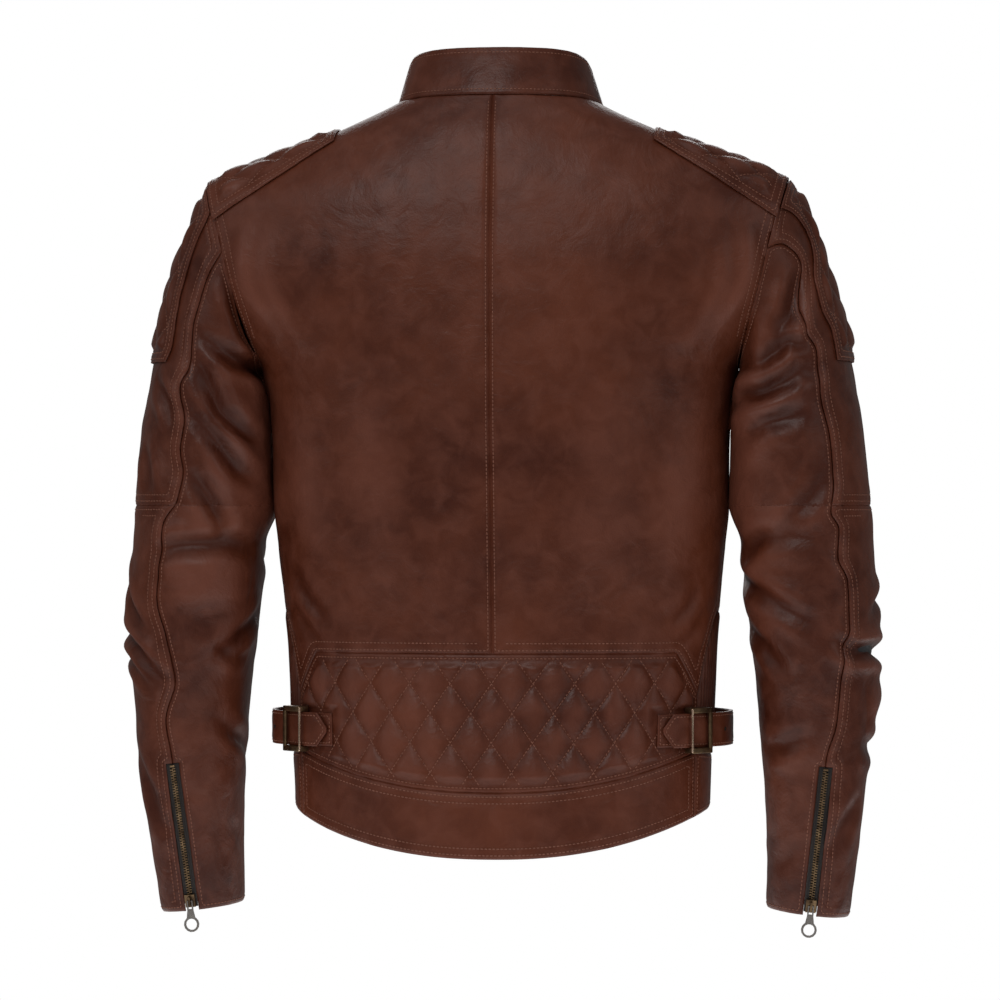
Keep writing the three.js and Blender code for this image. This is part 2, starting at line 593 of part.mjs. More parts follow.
// ---------------------------------------------------------------- cuff zips
// Cuff zip, on the back of the forearm, open at the cuff.
const CUFF_ZIP_TOP_T = 0.81;
const cuffFrame = zipFrame(
  sleeve(BACK_SEAM, 0.995), sleeve(BACK_SEAM, CUFF_ZIP_TOP_T),
  normalAt(sleeve, BACK_SEAM, 0.9, 0.5, -0.002), -1.0,
);
const cuffSlot = zipSlot(cuffFrame, FAR / 10, SEAM);
add("forearm_outer_left", belowElbow(outerLower).subtract(cuffSlot), leather, leftSide);
add("forearm_under_left", belowElbow(underLower).subtract(cuffSlot), leather, leftSide);
addZip("cuff", cuffFrame, 0.5, leftSide);

// Hand pocket zip, slanting down and outwards on the front.
const pocketTop = torso(310, -432);
const pocketBottom = torso(319, -556);
const pocketFrame = zipFrame(
  pocketBottom, pocketTop, normalAt(torso, 314, -495), -1.2,
);
addZip("pocket", pocketFrame, pocketFrame.length - SLIDER_LENGTH - 3, leftSide);
add("front_panel_left", frontLeft.subtract(zipSlot(pocketFrame, SEAM, SEAM)), leather, leftSide);
add("back_panel_left", backLeft, leather, leftSide);

// Front zip, up the straight centre front from the hem to the neck seam.
addZip("front", frontFrame, frontFrame.length - SLIDER_LENGTH - 4, group);

// ---------------------------------------------------------------- collar
/** The stand collar's surface: u as on the torso, v from 0 at the neck seam to 1 at its top edge. */
function collar(u, v) {
  const base = torso(u, 0);
  const share = (1 - Math.sin(rad(u))) / 2;
  const rise = mix(COLLAR_BACK, COLLAR_FRONT, share);
  const lean = mix(1, COLLAR_TOP_HALF / NECK_HALF, v);
  const middle = NECK_BACK_Y - NECK_DEPTH / 2;
  return new THREE.Vector3(base.x * lean, middle + (base.y - middle) * lean, base.z + rise * v);
}
const collarBody = sheet(collar, [270 + 4.5 - 360, 270 - 4.5], () => 0, () => 1, {
  cells: [40, 2], inner: -COLLAR_WALL, stepB: 0.02,
});
add("collar", collarBody, leather);

// Snap tab across the throat: sewn to the left of the collar, pressed onto a stud on the right.
// Its frame: +x the wearer's left, +y up the collar's slope, +z out of the collar.
const TAB_HEIGHT = 24;
const TAB_HALF = 23;
const TAB_WALL = 2;
const STUD_X = -15;
const STUD_WALL = 1.1;
const STUD_RADIUS = 4.5;
const SNAP_RADIUS = 7.5;
const SNAP_WALL = 2;
const throatUp = collar(270, 1).sub(collar(270, 0)).normalize();
const leftwards = new THREE.Vector3(1, 0, 0);
const throatMatrix = new THREE.Matrix4()
  .makeBasis(leftwards, throatUp, leftwards.clone().cross(throatUp))
  .setPosition(collar(270, 0.5));
const atThroat = (body) => solid(geometryOf(body).applyMatrix4(throatMatrix));
const disc = (radius, z0, z1) =>
  raised(new THREE.Shape().absarc(STUD_X, 0, radius, 0, 2 * Math.PI), z0, z1, 8);
const tabShape = outline([[TAB_HALF, -TAB_HEIGHT / 2], [TAB_HALF, TAB_HEIGHT / 2]]);
tabShape.absarc(STUD_X, 0, TAB_HEIGHT / 2, Math.PI / 2, (3 * Math.PI) / 2);
const tabLow = STUD_WALL + 2 * TOUCH;
const capLow = tabLow + TAB_WALL + TOUCH;
add("collar_stud", atThroat(disc(STUD_RADIUS, TOUCH, TOUCH + STUD_WALL)), brass);
add("collar_tab", atThroat(raised(tabShape, tabLow, tabLow + TAB_WALL)), leather);
add("snap_cap", atThroat(disc(SNAP_RADIUS, capLow, capLow + SNAP_WALL)), brass);

// ---------------------------------------------------------------- hanger loop, lining, back protector
// The loop is a strap across the centre back, sewn down at both ends and bowed off the collar.
const LOOP_DEGREES = 18;
const LOOP_WALL = 2;
const LOOP_BOW = 7.6;
function loopLine(u, v) {
  const bow = Math.max(0, Math.cos(rad(((u - 90) * 90) / LOOP_DEGREES)));
  return collar(u, v).sub(new THREE.Vector3(0, LOOP_BOW * bow ** 0.8, 0));
}
const loopOuter = -COLLAR_WALL - 3 * TOUCH;
const loopEnds = [90 - LOOP_DEGREES, 90 + LOOP_DEGREES];
add("hanger_loop", sheet(loopLine, loopEnds, () => -0.2, () => 0.01, {
  cells: [10, 1], outer: loopOuter, inner: loopOuter - LOOP_WALL, stepB: 0.02,
}), cloth);

const liningOuter = -LEATHER - LINING_AIR;
const liningTop = -14;
const LINING_CELLS = [26, 18];
const liningAngle = (k) => mix(270 + 8 - 360, 270 - 8, k / LINING_CELLS[0]);
const liningLevel = (k) => mix(-SIDE_LENGTH + 14, liningTop, k / LINING_CELLS[1]);
const liningSheet = (around, up, outer, wall) => sheet(
  torso, around.map(liningAngle), () => liningLevel(up[0]), () => liningLevel(up[1]),
  { cells: [around[1] - around[0], up[1] - up[0]], outer, inner: outer - wall },
);
add("torso_lining", insideArmholes(
  liningSheet([0, LINING_CELLS[0]], [0, LINING_CELLS[1]], liningOuter, LINING),
), cloth);
const PROTECTOR_HALF = 98;
const protector = liningSheet([10, 16], [5, 15], liningOuter - LINING - TOUCH, PAD);
add("back_protector", protector.intersect(
  block([-PROTECTOR_HALF, -FAR, -FAR], [PROTECTOR_HALF, FAR, FAR]),
), foam);

// ---------------------------------------------------------------- waist straps and buckles
// The strap bows out from the side panel, goes through the buckle and lies on the quilted panel.
const strapStand = smoothCurve([
  [-30, 1.6], [-24, 2.6], [-10, 11], [2, 17], [12, 16], [22, 11], [27, 9.6], [34, 7.8], [44, 4.4],
]);
const STRAP_START = -29;
const STRAP_TIP = 42;
const BUCKLE_AT = 27;
const strapPoint = (u, extra = 0) => {
  const at = torso(u, STRAP_Z);
  const out = normalAt(torso, u, STRAP_Z);
  out.z = 0;
  return at.addScaledVector(out.normalize(), strapStand(u) + extra);
};
function strapOutline(half) {
  const steps = 22;
  const side = (extra) => Array.from({ length: steps + 1 }, (_, i) =>
    strapPoint(mix(STRAP_START, STRAP_TIP, i / steps), extra));
  const points = [...side(half), ...side(-half).reverse()];
  return new THREE.Shape(points.map((p) => new THREE.Vector2(p.x, p.y)));
}

/** The buckle's frame: +x towards the strap's tip, +y up, +z outwards; z = 0 is the strap's middle. */
const buckleAt = strapPoint(BUCKLE_AT).setZ(STRAP_Z);
const toTip = strapPoint(BUCKLE_AT + 2).sub(strapPoint(BUCKLE_AT - 2)).setZ(0).normalize();
const upwards = new THREE.Vector3(0, 0, 1);
const outOfBuckle = toTip.clone().cross(upwards);
const buckleMatrix = new THREE.Matrix4().makeBasis(toTip, upwards, outOfBuckle).setPosition(buckleAt);
const inBuckle = (body) => solid(geometryOf(body).applyMatrix4(buckleMatrix));
const barZ = -(STRAP_WALL / 2 + TOUCH + CHAPE_WALL + TOUCH + BAR / 2);
const railZ = STRAP_WALL / 2 + ROCK_AIR; // underside of the outer bars
const RAIL = 2.6;
const barRod = (radius, z, y0, y1) => {
  const rod = new THREE.CylinderGeometry(radius, radius, y1 - y0, 12);
  return solid(rod.translate(0, (y0 + y1) / 2, z));
};
const [halfW, halfH] = [FRAME_WIDTH / 2, FRAME_HEIGHT / 2];
const rail = block([halfW - RAIL, -halfH, railZ], [halfW, halfH, railZ + RAIL]);
const cheek = block([-halfW, halfH - RAIL, barZ - BAR / 2], [halfW, halfH, railZ + RAIL]);
const frameBody = rail.add(mirrorX(rail)).add(cheek).add(cheek.mirror([0, 1, 0]))
  .add(barRod(BAR / 2, barZ, -halfH + 1, halfH - 1));

const strapLevel = [STRAP_Z - STRAP_HEIGHT / 2, STRAP_Z + STRAP_HEIGHT / 2];
const tipAt = strapPoint(STRAP_TIP);
const pointCut = (up) => {
  const normal = toTip.clone().multiplyScalar(-1).add(new THREE.Vector3(0, 0, -up * 0.75)).normalize();
  const corner = tipAt.clone().setZ(STRAP_Z + up * 2);
  return { normal: normal.toArray(), at: normal.dot(corner) };
};
let strapBody = raised(strapOutline(STRAP_WALL / 2), ...strapLevel);
for (const up of [1, -1]) {
  const cut = pointCut(up);
  strapBody = strapBody.trimByPlane(cut.normal, cut.at);
}
add("waist_strap_left", strapBody, leather, leftSide);
add("buckle_frame_left", inBuckle(frameBody), brass, leftSide);

// Chape: a leather tab sewn to the quilt that folds round the buckle's centre bar.
const CHAPE_END = 43;
const chapeHalf = STRAP_HEIGHT / 2 - 0.5;
const chapePlate = sheet(torso, [BUCKLE_AT + 3.5, CHAPE_END],
  () => STRAP_Z - chapeHalf, () => STRAP_Z + chapeHalf,
  { cells: [5, 1], outer: 0.6 + CHAPE_WALL, inner: 0.6 });
const chapeRing = barRod(BAR / 2 + TOUCH + CHAPE_WALL, barZ, -chapeHalf, chapeHalf);
const chapeNeck = block([1, -chapeHalf, barZ - 3.1], [9, chapeHalf, barZ - 1.65]);
const chapeBore = barRod(BAR / 2 + TOUCH, barZ, -FAR / 10, FAR / 10);
add("strap_chape_left", inBuckle(chapeRing.add(chapeNeck).subtract(chapeBore))
  .add(chapePlate), leather, leftSide);

// ---------------------------------------------------------------- right side
const rightSide = new THREE.Group();
rightSide.scale.x = -1;
for (const mesh of leftSide.children) {
  const twin = mesh.clone();
  twin.name = mesh.name.replace(/left$/, "right");
  rightSide.add(twin);
}
group.add(rightSide);

export default group;
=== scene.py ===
# %% [markdown]
# # A leather riding jacket
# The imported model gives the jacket's frame: where each panel, zip and buckle is and what moves.
# This file dresses that frame. Each leather panel is cut from a flat net, laid on the jacket's
# form, folded, padded and stitched, so the seams, quilting and creases are real relief.
#
# Everything is in metres, but the form is written in millimetres, as a pattern cutter would.

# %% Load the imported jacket
import functools
import json
import math
import random

import bmesh
import bpy
import numpy as np
from mathutils import Matrix, Vector, noise
from mathutils.kdtree import KDTree

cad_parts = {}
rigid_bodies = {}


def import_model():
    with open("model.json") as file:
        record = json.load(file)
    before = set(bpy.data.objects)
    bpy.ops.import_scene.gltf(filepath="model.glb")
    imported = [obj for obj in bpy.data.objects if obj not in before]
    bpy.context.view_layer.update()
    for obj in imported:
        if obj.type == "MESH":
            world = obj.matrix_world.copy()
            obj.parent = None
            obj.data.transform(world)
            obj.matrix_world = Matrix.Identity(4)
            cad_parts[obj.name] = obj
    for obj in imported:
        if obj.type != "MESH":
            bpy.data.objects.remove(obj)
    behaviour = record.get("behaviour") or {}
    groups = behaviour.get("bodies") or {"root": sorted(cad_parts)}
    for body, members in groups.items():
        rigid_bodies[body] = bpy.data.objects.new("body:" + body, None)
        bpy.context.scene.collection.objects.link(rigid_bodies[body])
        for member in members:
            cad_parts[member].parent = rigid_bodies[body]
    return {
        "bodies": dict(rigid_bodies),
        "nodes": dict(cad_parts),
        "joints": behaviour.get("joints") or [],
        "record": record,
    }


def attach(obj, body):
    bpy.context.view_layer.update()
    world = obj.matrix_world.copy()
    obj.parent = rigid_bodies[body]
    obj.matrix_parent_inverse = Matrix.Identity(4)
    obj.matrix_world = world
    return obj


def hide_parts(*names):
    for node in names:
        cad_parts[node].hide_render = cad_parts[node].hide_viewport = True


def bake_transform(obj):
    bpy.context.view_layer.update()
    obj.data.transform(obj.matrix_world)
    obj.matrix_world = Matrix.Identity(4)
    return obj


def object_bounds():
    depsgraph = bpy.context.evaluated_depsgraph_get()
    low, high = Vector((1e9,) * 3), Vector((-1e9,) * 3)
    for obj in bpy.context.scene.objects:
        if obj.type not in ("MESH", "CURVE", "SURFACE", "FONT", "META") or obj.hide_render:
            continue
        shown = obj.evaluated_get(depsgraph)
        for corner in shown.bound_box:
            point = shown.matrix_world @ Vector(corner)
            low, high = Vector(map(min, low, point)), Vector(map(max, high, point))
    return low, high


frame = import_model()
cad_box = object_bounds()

MM = 0.001
LEFT, RIGHT = 1, -1  # the wearer's sides; +X is the wearer's left
SIDES = {"left": LEFT, "right": RIGHT}
rng = random.Random(11)

# %% [markdown]
# ## Camera and light
# The jacket is seen from behind, a few degrees round to its right side, from far off with a
# long lens, so that it looks almost flat-on. A soft lamp high behind the camera's side of it gives
# the leather its broad sheen and shades its folds, weaker ones stand to the left, to the right,
# above and on the far side, and a pale floor and sky fill in the rest.

# %% Camera, lamps, floor and sky
CAMERA_TURN = math.radians(5)
CAMERA_HEIGHT = -0.3455
CAMERA_FAR = 3.5
AIM = Vector((0.0, -0.06, CAMERA_HEIGHT))


def look_at(thing, target):
    thing.rotation_euler = (target - thing.location).to_track_quat("-Z", "Y").to_euler()


camera = bpy.data.objects.new("camera", bpy.data.cameras.new("camera"))
bpy.context.collection.objects.link(camera)
camera.data.lens, camera.data.sensor_width = 145.5, 36
camera.location = AIM + CAMERA_FAR * Vector((-math.sin(CAMERA_TURN), math.cos(CAMERA_TURN), 0))
look_at(camera, AIM)
bpy.context.scene.camera = camera


def soft_lamp(name, place, size, watts, target=AIM, colour=(1, 1, 1)):
    lamp = bpy.data.objects.new(name, bpy.data.lights.new(name, "AREA"))
    bpy.context.collection.objects.link(lamp)
    lamp.data.shape = "RECTANGLE"
    lamp.data.size, lamp.data.size_y = size
    lamp.data.energy = watts
    lamp.data.color = colour
    lamp.location = place
    look_at(lamp, target)
    return lamp


soft_lamp("lamp_back", (0.45, 2.5, 1.35), (1.0, 0.8), 19)
soft_lamp("lamp_left", (1.9, 1.3, 0.6), (0.7, 1.6), 4.5)
soft_lamp("lamp_right", (-1.9, 1.3, 0.4), (0.7, 1.6), 4.5)
soft_lamp("lamp_top", (0.1, 0.4, 1.7), (1.4, 0.7), 4)
soft_lamp("lamp_front", (0.3, -2.6, 0.6), (1.6, 1.6), 22)

FLOOR_HALF, FLOOR_Z = 0.9, -0.95
floor_mesh = bmesh.new()
bmesh.ops.create_grid(floor_mesh, x_segments=1, y_segments=1, size=FLOOR_HALF)
bmesh.ops.translate(floor_mesh, verts=floor_mesh.verts, vec=(0, 0, FLOOR_Z))
floor = bpy.data.objects.new("floor", bpy.data.meshes.new("floor"))
floor_mesh.to_mesh(floor.data)
floor_mesh.free()
bpy.context.collection.objects.link(floor)
pale = bpy.data.materials.new("pale floor")
pale.use_nodes = True
pale.node_tree.nodes["Principled BSDF"].inputs["Base Color"].default_value = (0.9, 0.9, 0.9, 1)
pale.node_tree.nodes["Principled BSDF"].inputs["Roughness"].default_value = 0.9
pale.node_tree.nodes["Principled BSDF"].inputs["Emission Color"].default_value = (1, 1, 1, 1)
pale.node_tree.nodes["Principled BSDF"].inputs["Emission Strength"].default_value = 0.55
floor.data.materials.append(pale)
world = bpy.data.worlds.new("studio")
bpy.context.scene.world = world
world.use_nodes = True
sky = world.node_tree
sky.nodes["Background"].inputs["Color"].default_value = (1, 1, 1, 1)
seen = sky.nodes.new("ShaderNodeLightPath").outputs["Is Camera Ray"]
level = sky.nodes.new("ShaderNodeMapRange")  # white where it is seen, dim as a light
level.inputs["To Min"].default_value, level.inputs["To Max"].default_value = 0.15, 1.0
sky.links.new(seen, level.inputs["Value"])
sky.links.new(level.outputs["Result"], sky.nodes["Background"].inputs["Strength"])
bpy.context.scene.view_settings.view_transform = "Standard"
print("camera", tuple(round(v, 3) for v in camera.location))

# %% [markdown]
# ## The form
# A jacket on a hanger keeps the shape of a body: rings that are rounder than a box and squarer
# than an ellipse, wide at the chest, pulled in at the waist. The same few sizes drive the packed
# solids, so a panel laid on this form lies exactly where its solid is.
# A smooth curve through a handful of values gives each ring its width and depth.

# %% Smooth curves and the torso form
FORM_POWER = 2 / 2.3
NECK_BACK, NECK_FRONT = 13.0, -165.0
SIDE_HEM, TAIL = -612.0, 37.0
WAIST = -476.0
ARMPIT = np.array([205.0, -238.0])
SHOULDER = np.array([250.0, -67.0])
FRONT_LEAN = 0.0616


def smooth_curve(pairs):
    """A curve through (x, y) pairs that never overshoots them."""
    xs, ys = (np.array(v, float) for v in zip(*pairs))
    slope = np.diff(ys) / np.diff(xs)
    lean = np.concatenate([slope[:1], np.zeros(len(xs) - 2), slope[-1:]])
    for i in range(1, len(xs) - 1):
        a, b = slope[i - 1], slope[i]
        lean[i] = 0 if a * b <= 0 else 2 * a * b / (a + b)

    def curve(x):
        x = np.clip(x, xs[0], xs[-1])
        i = np.clip(np.searchsorted(xs, x) - 1, 0, len(xs) - 2)
        wide = xs[i + 1] - xs[i]
        s = (x - xs[i]) / wide
        bend = wide * s * (1 - s) * ((1 - s) * lean[i] - s * lean[i + 1])
        return ys[i] + (ys[i + 1] - ys[i]) * s * s * (3 - 2 * s) + bend

    return curve


half_width = smooth_curve([
    (-665, 180), (-612, 181), (-476, 186), (-368.9, 195.1), (-262, 199), (-232, 207), (-203, 235),
    (-150, 286), (-100, 294), (-81, 280), (-67, 251), (-46.9, 198.8), (-20.1, 133.2), (0, 90),
])
back_y = smooth_curve([
    (-665, 33), (-612, 30), (-476, 22), (-368.9, 33), (-238, 46), (-148, 47), (-97, 42), (-67, 36),
    (-26.8, 26), (0, NECK_BACK),
])
front_drop = smooth_curve([(-250, 0), (-150, 14), (-67, 40), (0, 60)])


def front_y(h):
    return NECK_FRONT + FRONT_LEAN * (h - front_drop(h) + 60)


def rounded(v):
    return np.sign(v) * np.abs(v) ** FORM_POWER


def torso(u, h):
    """A point of the form: u degrees round from the left side, h the ring's height at the back."""
    u, h = np.radians(u), np.asarray(h, float)
    back, front = back_y(h), front_y(h)
    y = (back + front) / 2 + (back - front) / 2 * rounded(np.sin(u))
    share = np.clip((back - y) / (back - front), 0, 1)
    z = h - front_drop(h) * share ** 2.3
    return np.stack(np.broadcast_arrays(half_width(h) * rounded(np.cos(u)), y, z), -1)


def unit(v):
    return v / np.maximum(np.linalg.norm(v, axis=-1, keepdims=True), 1e-12)


def facing(surface, a, b, step=(0.2, 0.2)):
    """The way a surface faces at (a, b)."""
    da, db = step
    return unit(np.cross(surface(a + da, b) - surface(a - da, b),
                         surface(a, b + db) - surface(a, b - db)))


print("chest", round(2 * float(half_width(-262))), "mm wide,",
      "waist", round(2 * float(half_width(WAIST))))

# %% [markdown]
# ## The sleeve
# A sleeve is a tube of slanting rings from the armhole to the cuff. Its first ring is where the
# plane of the armhole cuts the torso form, so the sleeve's head meets the body all round. That
# ring is found by stepping outwards from the armhole's middle until the form is left.

# %% The sleeve form
ROWS = [0, 0.14, 0.28, 0.42, 0.52, 0.62, 0.76, 0.88, 1]
ELBOW_Z, CUFF_Z = -395.0, -706.0
BACK_SEAM, FRONT_SEAM = 80.0, -90.0
UP = np.array([ARMPIT[0] - SHOULDER[0], 0, ARMPIT[1] - SHOULDER[1]])
UP = -UP / np.linalg.norm(UP)
OUT = np.array([UP[2], 0, -UP[0]])
ARMHOLE_AT = OUT[0] * SHOULDER[0] + OUT[2] * SHOULDER[1]


def between(a, b, share):
    return a + (b - a) * share


def along_sleeve(values):
    return smooth_curve(list(zip(ROWS, values)))


outer_x = along_sleeve([250, 282, 305, 317, 322, 326, 321, 312, 301])
outer_z = along_sleeve([-67, between(-67, ELBOW_Z, 0.25), between(-67, ELBOW_Z, 0.51),
                        between(-67, ELBOW_Z, 0.76), between(-67, ELBOW_Z, 0.94),
                        between(ELBOW_Z, CUFF_Z, 0.18), between(ELBOW_Z, CUFF_Z, 0.47),
                        between(ELBOW_Z, CUFF_Z, 0.74), CUFF_Z])
inner_x = along_sleeve([205, 207.5, 208, 208, 209, 215, 224, 229, 230])
inner_z = along_sleeve([-238, between(-238, ELBOW_Z, 0.24), between(-238, ELBOW_Z, 0.5),
                        between(-238, ELBOW_Z, 0.8), between(ELBOW_Z, CUFF_Z, 0.02),
                        between(ELBOW_Z, CUFF_Z, 0.2), between(ELBOW_Z, CUFF_Z, 0.46),
                        between(ELBOW_Z, CUFF_Z, 0.72), CUFF_Z + 8])
sleeve_y = along_sleeve([-72, -72, -73, -75, -76, -77, -82, -88, -95])
sleeve_deep = along_sleeve([80, 79, 76, 72, 70, 68, 60, 53, 47])
seam_wander = {  # how far the back seam strays round each sleeve, in degrees, from top to cuff
    LEFT: smooth_curve([
        (0, 0), (0.07, -6), (0.14, -6), (0.21, 0), (0.25, -5), (0.3, 3), (0.35, 1), (0.39, 5),
        (0.44, 2), (0.49, -9), (0.585, -12), (0.635, -2), (0.7, 6), (0.755, -4), (0.8, 0), (1, 8),
    ]),
    RIGHT: smooth_curve([
        (0, 0), (0.05, -20), (0.09, -28), (0.14, -11), (0.17, -11), (0.21, -17), (0.28, -13),
        (0.35, -16), (0.42, -15), (0.47, -10), (0.5, -17), (0.54, -14), (0.57, -22), (0.62, -21),
        (0.65, -16), (0.755, -9), (0.8, 0), (1, 8),
    ]),
}


def plain_sleeve(around, t, side=LEFT):
    share = (1 + np.cos(np.radians(around - BACK_SEAM))) / 2
    a = np.radians(around + seam_wander[side](t) * share)
    across, deep = rounded(np.cos(a)) / 2, rounded(np.sin(a))
    x = (outer_x(t) + inner_x(t)) / 2 + (outer_x(t) - inner_x(t)) * across
    z = (outer_z(t) + inner_z(t)) / 2 + (outer_z(t) - inner_z(t)) * across
    return np.stack(np.broadcast_arrays(x, sleeve_y(t) + sleeve_deep(t) * deep, z), -1)


def inside_torso(p):
    h = p[..., 2].copy()
    for _ in range(12):
        share = np.clip((back_y(h) - p[..., 1]) / (back_y(h) - front_y(h)), 0, 1)
        h = np.minimum(0, p[..., 2] + front_drop(h) * share ** 2.3)
    back, front = back_y(h), front_y(h)
    deep = np.abs(p[..., 1] - (back + front) / 2) / ((back - front) / 2)
    return (np.abs(p[..., 0]) / half_width(h)) ** 2.3 + deep ** 2.3 < 1


ring_angles = np.arange(-180.0, 541.0, 2.0)
ring_middle = (plain_sleeve(0.0, 0.0) + plain_sleeve(180.0, 0.0)) / 2
ring_way = plain_sleeve(ring_angles, 0.0) - ring_middle
near, far = np.full(len(ring_angles), 0.3), np.full(len(ring_angles), 1.6)
for _ in range(24):
    middle = (near + far) / 2
    inside = inside_torso(ring_middle + ring_way * middle[:, None])
    near, far = np.where(inside, middle, near), np.where(inside, far, middle)
ring_points = ring_middle + ring_way * near[:, None]
ring_shift = ring_points - plain_sleeve(ring_angles, 0.0)


def sleeve(around, t, side=LEFT):
    """A point of a sleeve, as if on the left: degrees from its outer side, t from top to cuff."""
    around, t = np.asarray(around, float), np.asarray(t, float)
    around, t = np.broadcast_arrays(around, t)
    shift = np.stack([np.interp(around, ring_angles, ring_shift[:, k]) for k in range(3)], -1)
    fade = np.clip(1 - np.maximum(t, 0) / 0.3, 0, 1) ** 2
    inward = np.minimum(t, 0)[..., None] * 639 * OUT
    return plain_sleeve(around, np.maximum(t, 0), side) + shift * fade[..., None] + inward


SLEEVE_STEP = (0.2, -0.002)
sleeves = {side: functools.partial(sleeve, side=side) for side in SIDES.values()}
print("armhole", np.round(ring_points[ring_angles == 90][0]), "cuff", np.round(sleeve(0.0, 1.0)))

# %% [markdown]
# ## Folds
# Leather folds where a hanging sleeve is bent and where a panel is drawn towards a seam. A fold
# could come from a simulated cloth, but folds given one by one put each crease where it belongs,
# and give the same result every run. A crease is a narrow valley with a soft ridge on each side of
# it, a drape is one broad ridge. Each is a line on the form, and fades out at both of its ends.

# %% Folds as lines on the form
def fold(points, height, width, crease=True):
    """One fold: its line in millimetres, its height and width, and whether it is a sharp crease."""
    return {"line": np.asarray(points, float), "height": height, "width": width, "crease": crease}


def line_distance(p, line):
    """Each point's distance to a line, and how far along it the nearest place is, from 0 to 1."""
    best, along = np.full(len(p), 1e9), np.zeros(len(p))
    step = np.linalg.norm(np.diff(line, axis=0), axis=1)
    total = step.sum()
    gone = 0.0
    for a, b, size in zip(line, line[1:], step):
        s = np.clip(((p - a) @ (b - a)) / max(size * size, 1e-9), 0, 1)
        d = np.linalg.norm(p - (a + s[:, None] * (b - a)), axis=1)
        along = np.where(d < best, (gone + s * size) / total, along)
        best = np.minimum(best, d)
        gone += size
    return best, along


def fold_relief(p, folds):
    """How far folds lift the points p of a form."""
    lift = np.zeros(len(p))
    for f in folds:
        reach = f["width"] * (4.2 if f["crease"] else 3)
        lo, hi = f["line"].min(0) - reach, f["line"].max(0) + reach
        near_it = np.all((p > lo) & (p < hi), axis=1)
        if not near_it.any():
            continue
        d, along = line_distance(p[near_it], f["line"])
        fade = np.sin(np.pi * np.clip(along, 0.0, 1.0)) ** 0.8
        q = d / f["width"]
        if f["crease"]:
            shape = -np.exp(-q * q) + 0.62 * np.exp(-((q - 1.9) / 1.15) ** 2)
        else:
            shape = np.exp(-q * q)
        lift[near_it] += f["height"] * fade * shape
    return lift


def soft_noise(p, size, stretch=(1, 1, 1), seed=0.0):
    """Gentle random hills over the points p, about size millimetres across."""
    q = p / size * np.array(stretch)
    return np.array([noise.noise(Vector((x + seed, y - seed, z + 2 * seed))) for x, y, z in q])


def sleeve_height(degrees, z, side):
    """t where the sleeve is at the height z, at so many degrees round."""
    t = np.linspace(0, 1, 201)
    return float(np.interp(-z, -plain_sleeve(degrees, t, side)[:, 2], t))


def on_sleeve(turns, mirror):
    """A line over the sleeve through (degrees, height) pairs, smoothly."""
    turns = np.array(turns, float)
    s = np.linspace(0, len(turns) - 1, 5 * len(turns))
    degrees = np.interp(s, range(len(turns)), turns[:, 0])
    t = np.interp(s, range(len(turns)), [sleeve_height(a, z, mirror) for a, z in turns])
    return sleeve(degrees, t, mirror) * np.array([mirror, 1, 1])


def on_torso(turns):
    turns = np.array(turns, float)
    s = np.linspace(0, len(turns) - 1, 5 * len(turns))
    return torso(np.interp(s, range(len(turns)), turns[:, 0]),
                 np.interp(s, range(len(turns)), turns[:, 1]))


SLEEVE_DEEPER, SLEEVE_NARROWER = 1.3, 0.92
TORSO_DEEPER, TORSO_WIDER = 1.6, 1.1
sleeve_folds = {LEFT: [], RIGHT: []}
for turns, height, width, crease in [
    ([(88, -150), (115, -185), (148, -216)], 4.0, 7, True),
    ([(80, -203), (112, -222), (148, -236), (180, -243)], 5.0, 7, True),
    ([(83, -216), (95, -245), (112, -270), (140, -290), (172, -304)], 5.4, 8, True),
    ([(83, -260), (105, -290), (130, -320), (160, -335)], 4.6, 8, True),
    ([(84, -318), (105, -350), (130, -379)], 4.4, 8, True),
    ([(70, -396), (100, -384), (132, -382), (165, -390)], 4.2, 9, True),
    ([(90, -425), (125, -418), (160, -428)], 4.0, 20, False),
    ([(190, -440), (150, -462), (112, -486)], 3.0, 8, True),
    ([(8, -400), (35, -430), (60, -464)], 3.8, 7, True),
    ([(0, -455), (35, -470), (72, -503)], 4.4, 7, True),
    ([(-12, -474), (25, -486), (62, -512)], 3.4, 6, True),
    ([(40, -240), (60, -262), (72, -284)], 2.6, 6, True),
    ([(30, -296), (50, -340)], 2.4, 8, True),
    ([(120, -530), (150, -548), (190, -560)], 2.4, 8, True),
    ([(15, -560), (40, -596), (60, -640)], 2.8, 9, True),
]:
    sleeve_folds[LEFT].append(fold(on_sleeve(turns, LEFT), SLEEVE_DEEPER * height,
                              SLEEVE_NARROWER * width, crease))
for turns, height, width, crease in [
    ([(84, -152), (94, -190), (122, -220)], 5.0, 8, True),
    ([(84, -214), (96, -212), (112, -222), (130, -234)], 4.8, 7, True),
    ([(84, -238), (109, -246), (148, -258), (178, -270)], 5.4, 8, True),
    ([(92, -270), (130, -280), (170, -298)], 3.6, 9, True),
    ([(84, -318), (100, -345), (116, -374)], 3.0, 9, True),
    ([(95, -372), (135, -378), (175, -392)], 2.6, 9, True),
    ([(195, -405), (150, -425), (105, -452)], 3.8, 8, True),
    ([(190, -448), (150, -470), (118, -500)], 2.8, 8, True),
    ([(-30, -482), (0, -478), (35, -473), (70, -474), (98, -462)], 6.0, 7, True),
    ([(-15, -512), (10, -514), (40, -522)], 5.0, 22, False),
    ([(-20, -556), (10, -560), (40, -552)], 3.4, 8, True),
    ([(-20, -425), (15, -430), (55, -446)], 3.0, 7, True),
    ([(95, -545), (125, -556), (160, -560)], 2.4, 8, True),
    ([(20, -596), (45, -620), (66, -650)], 2.4, 9, True),
]:
    sleeve_folds[RIGHT].append(fold(on_sleeve(turns, RIGHT), SLEEVE_DEEPER * height,
                              SLEEVE_NARROWER * width, crease))
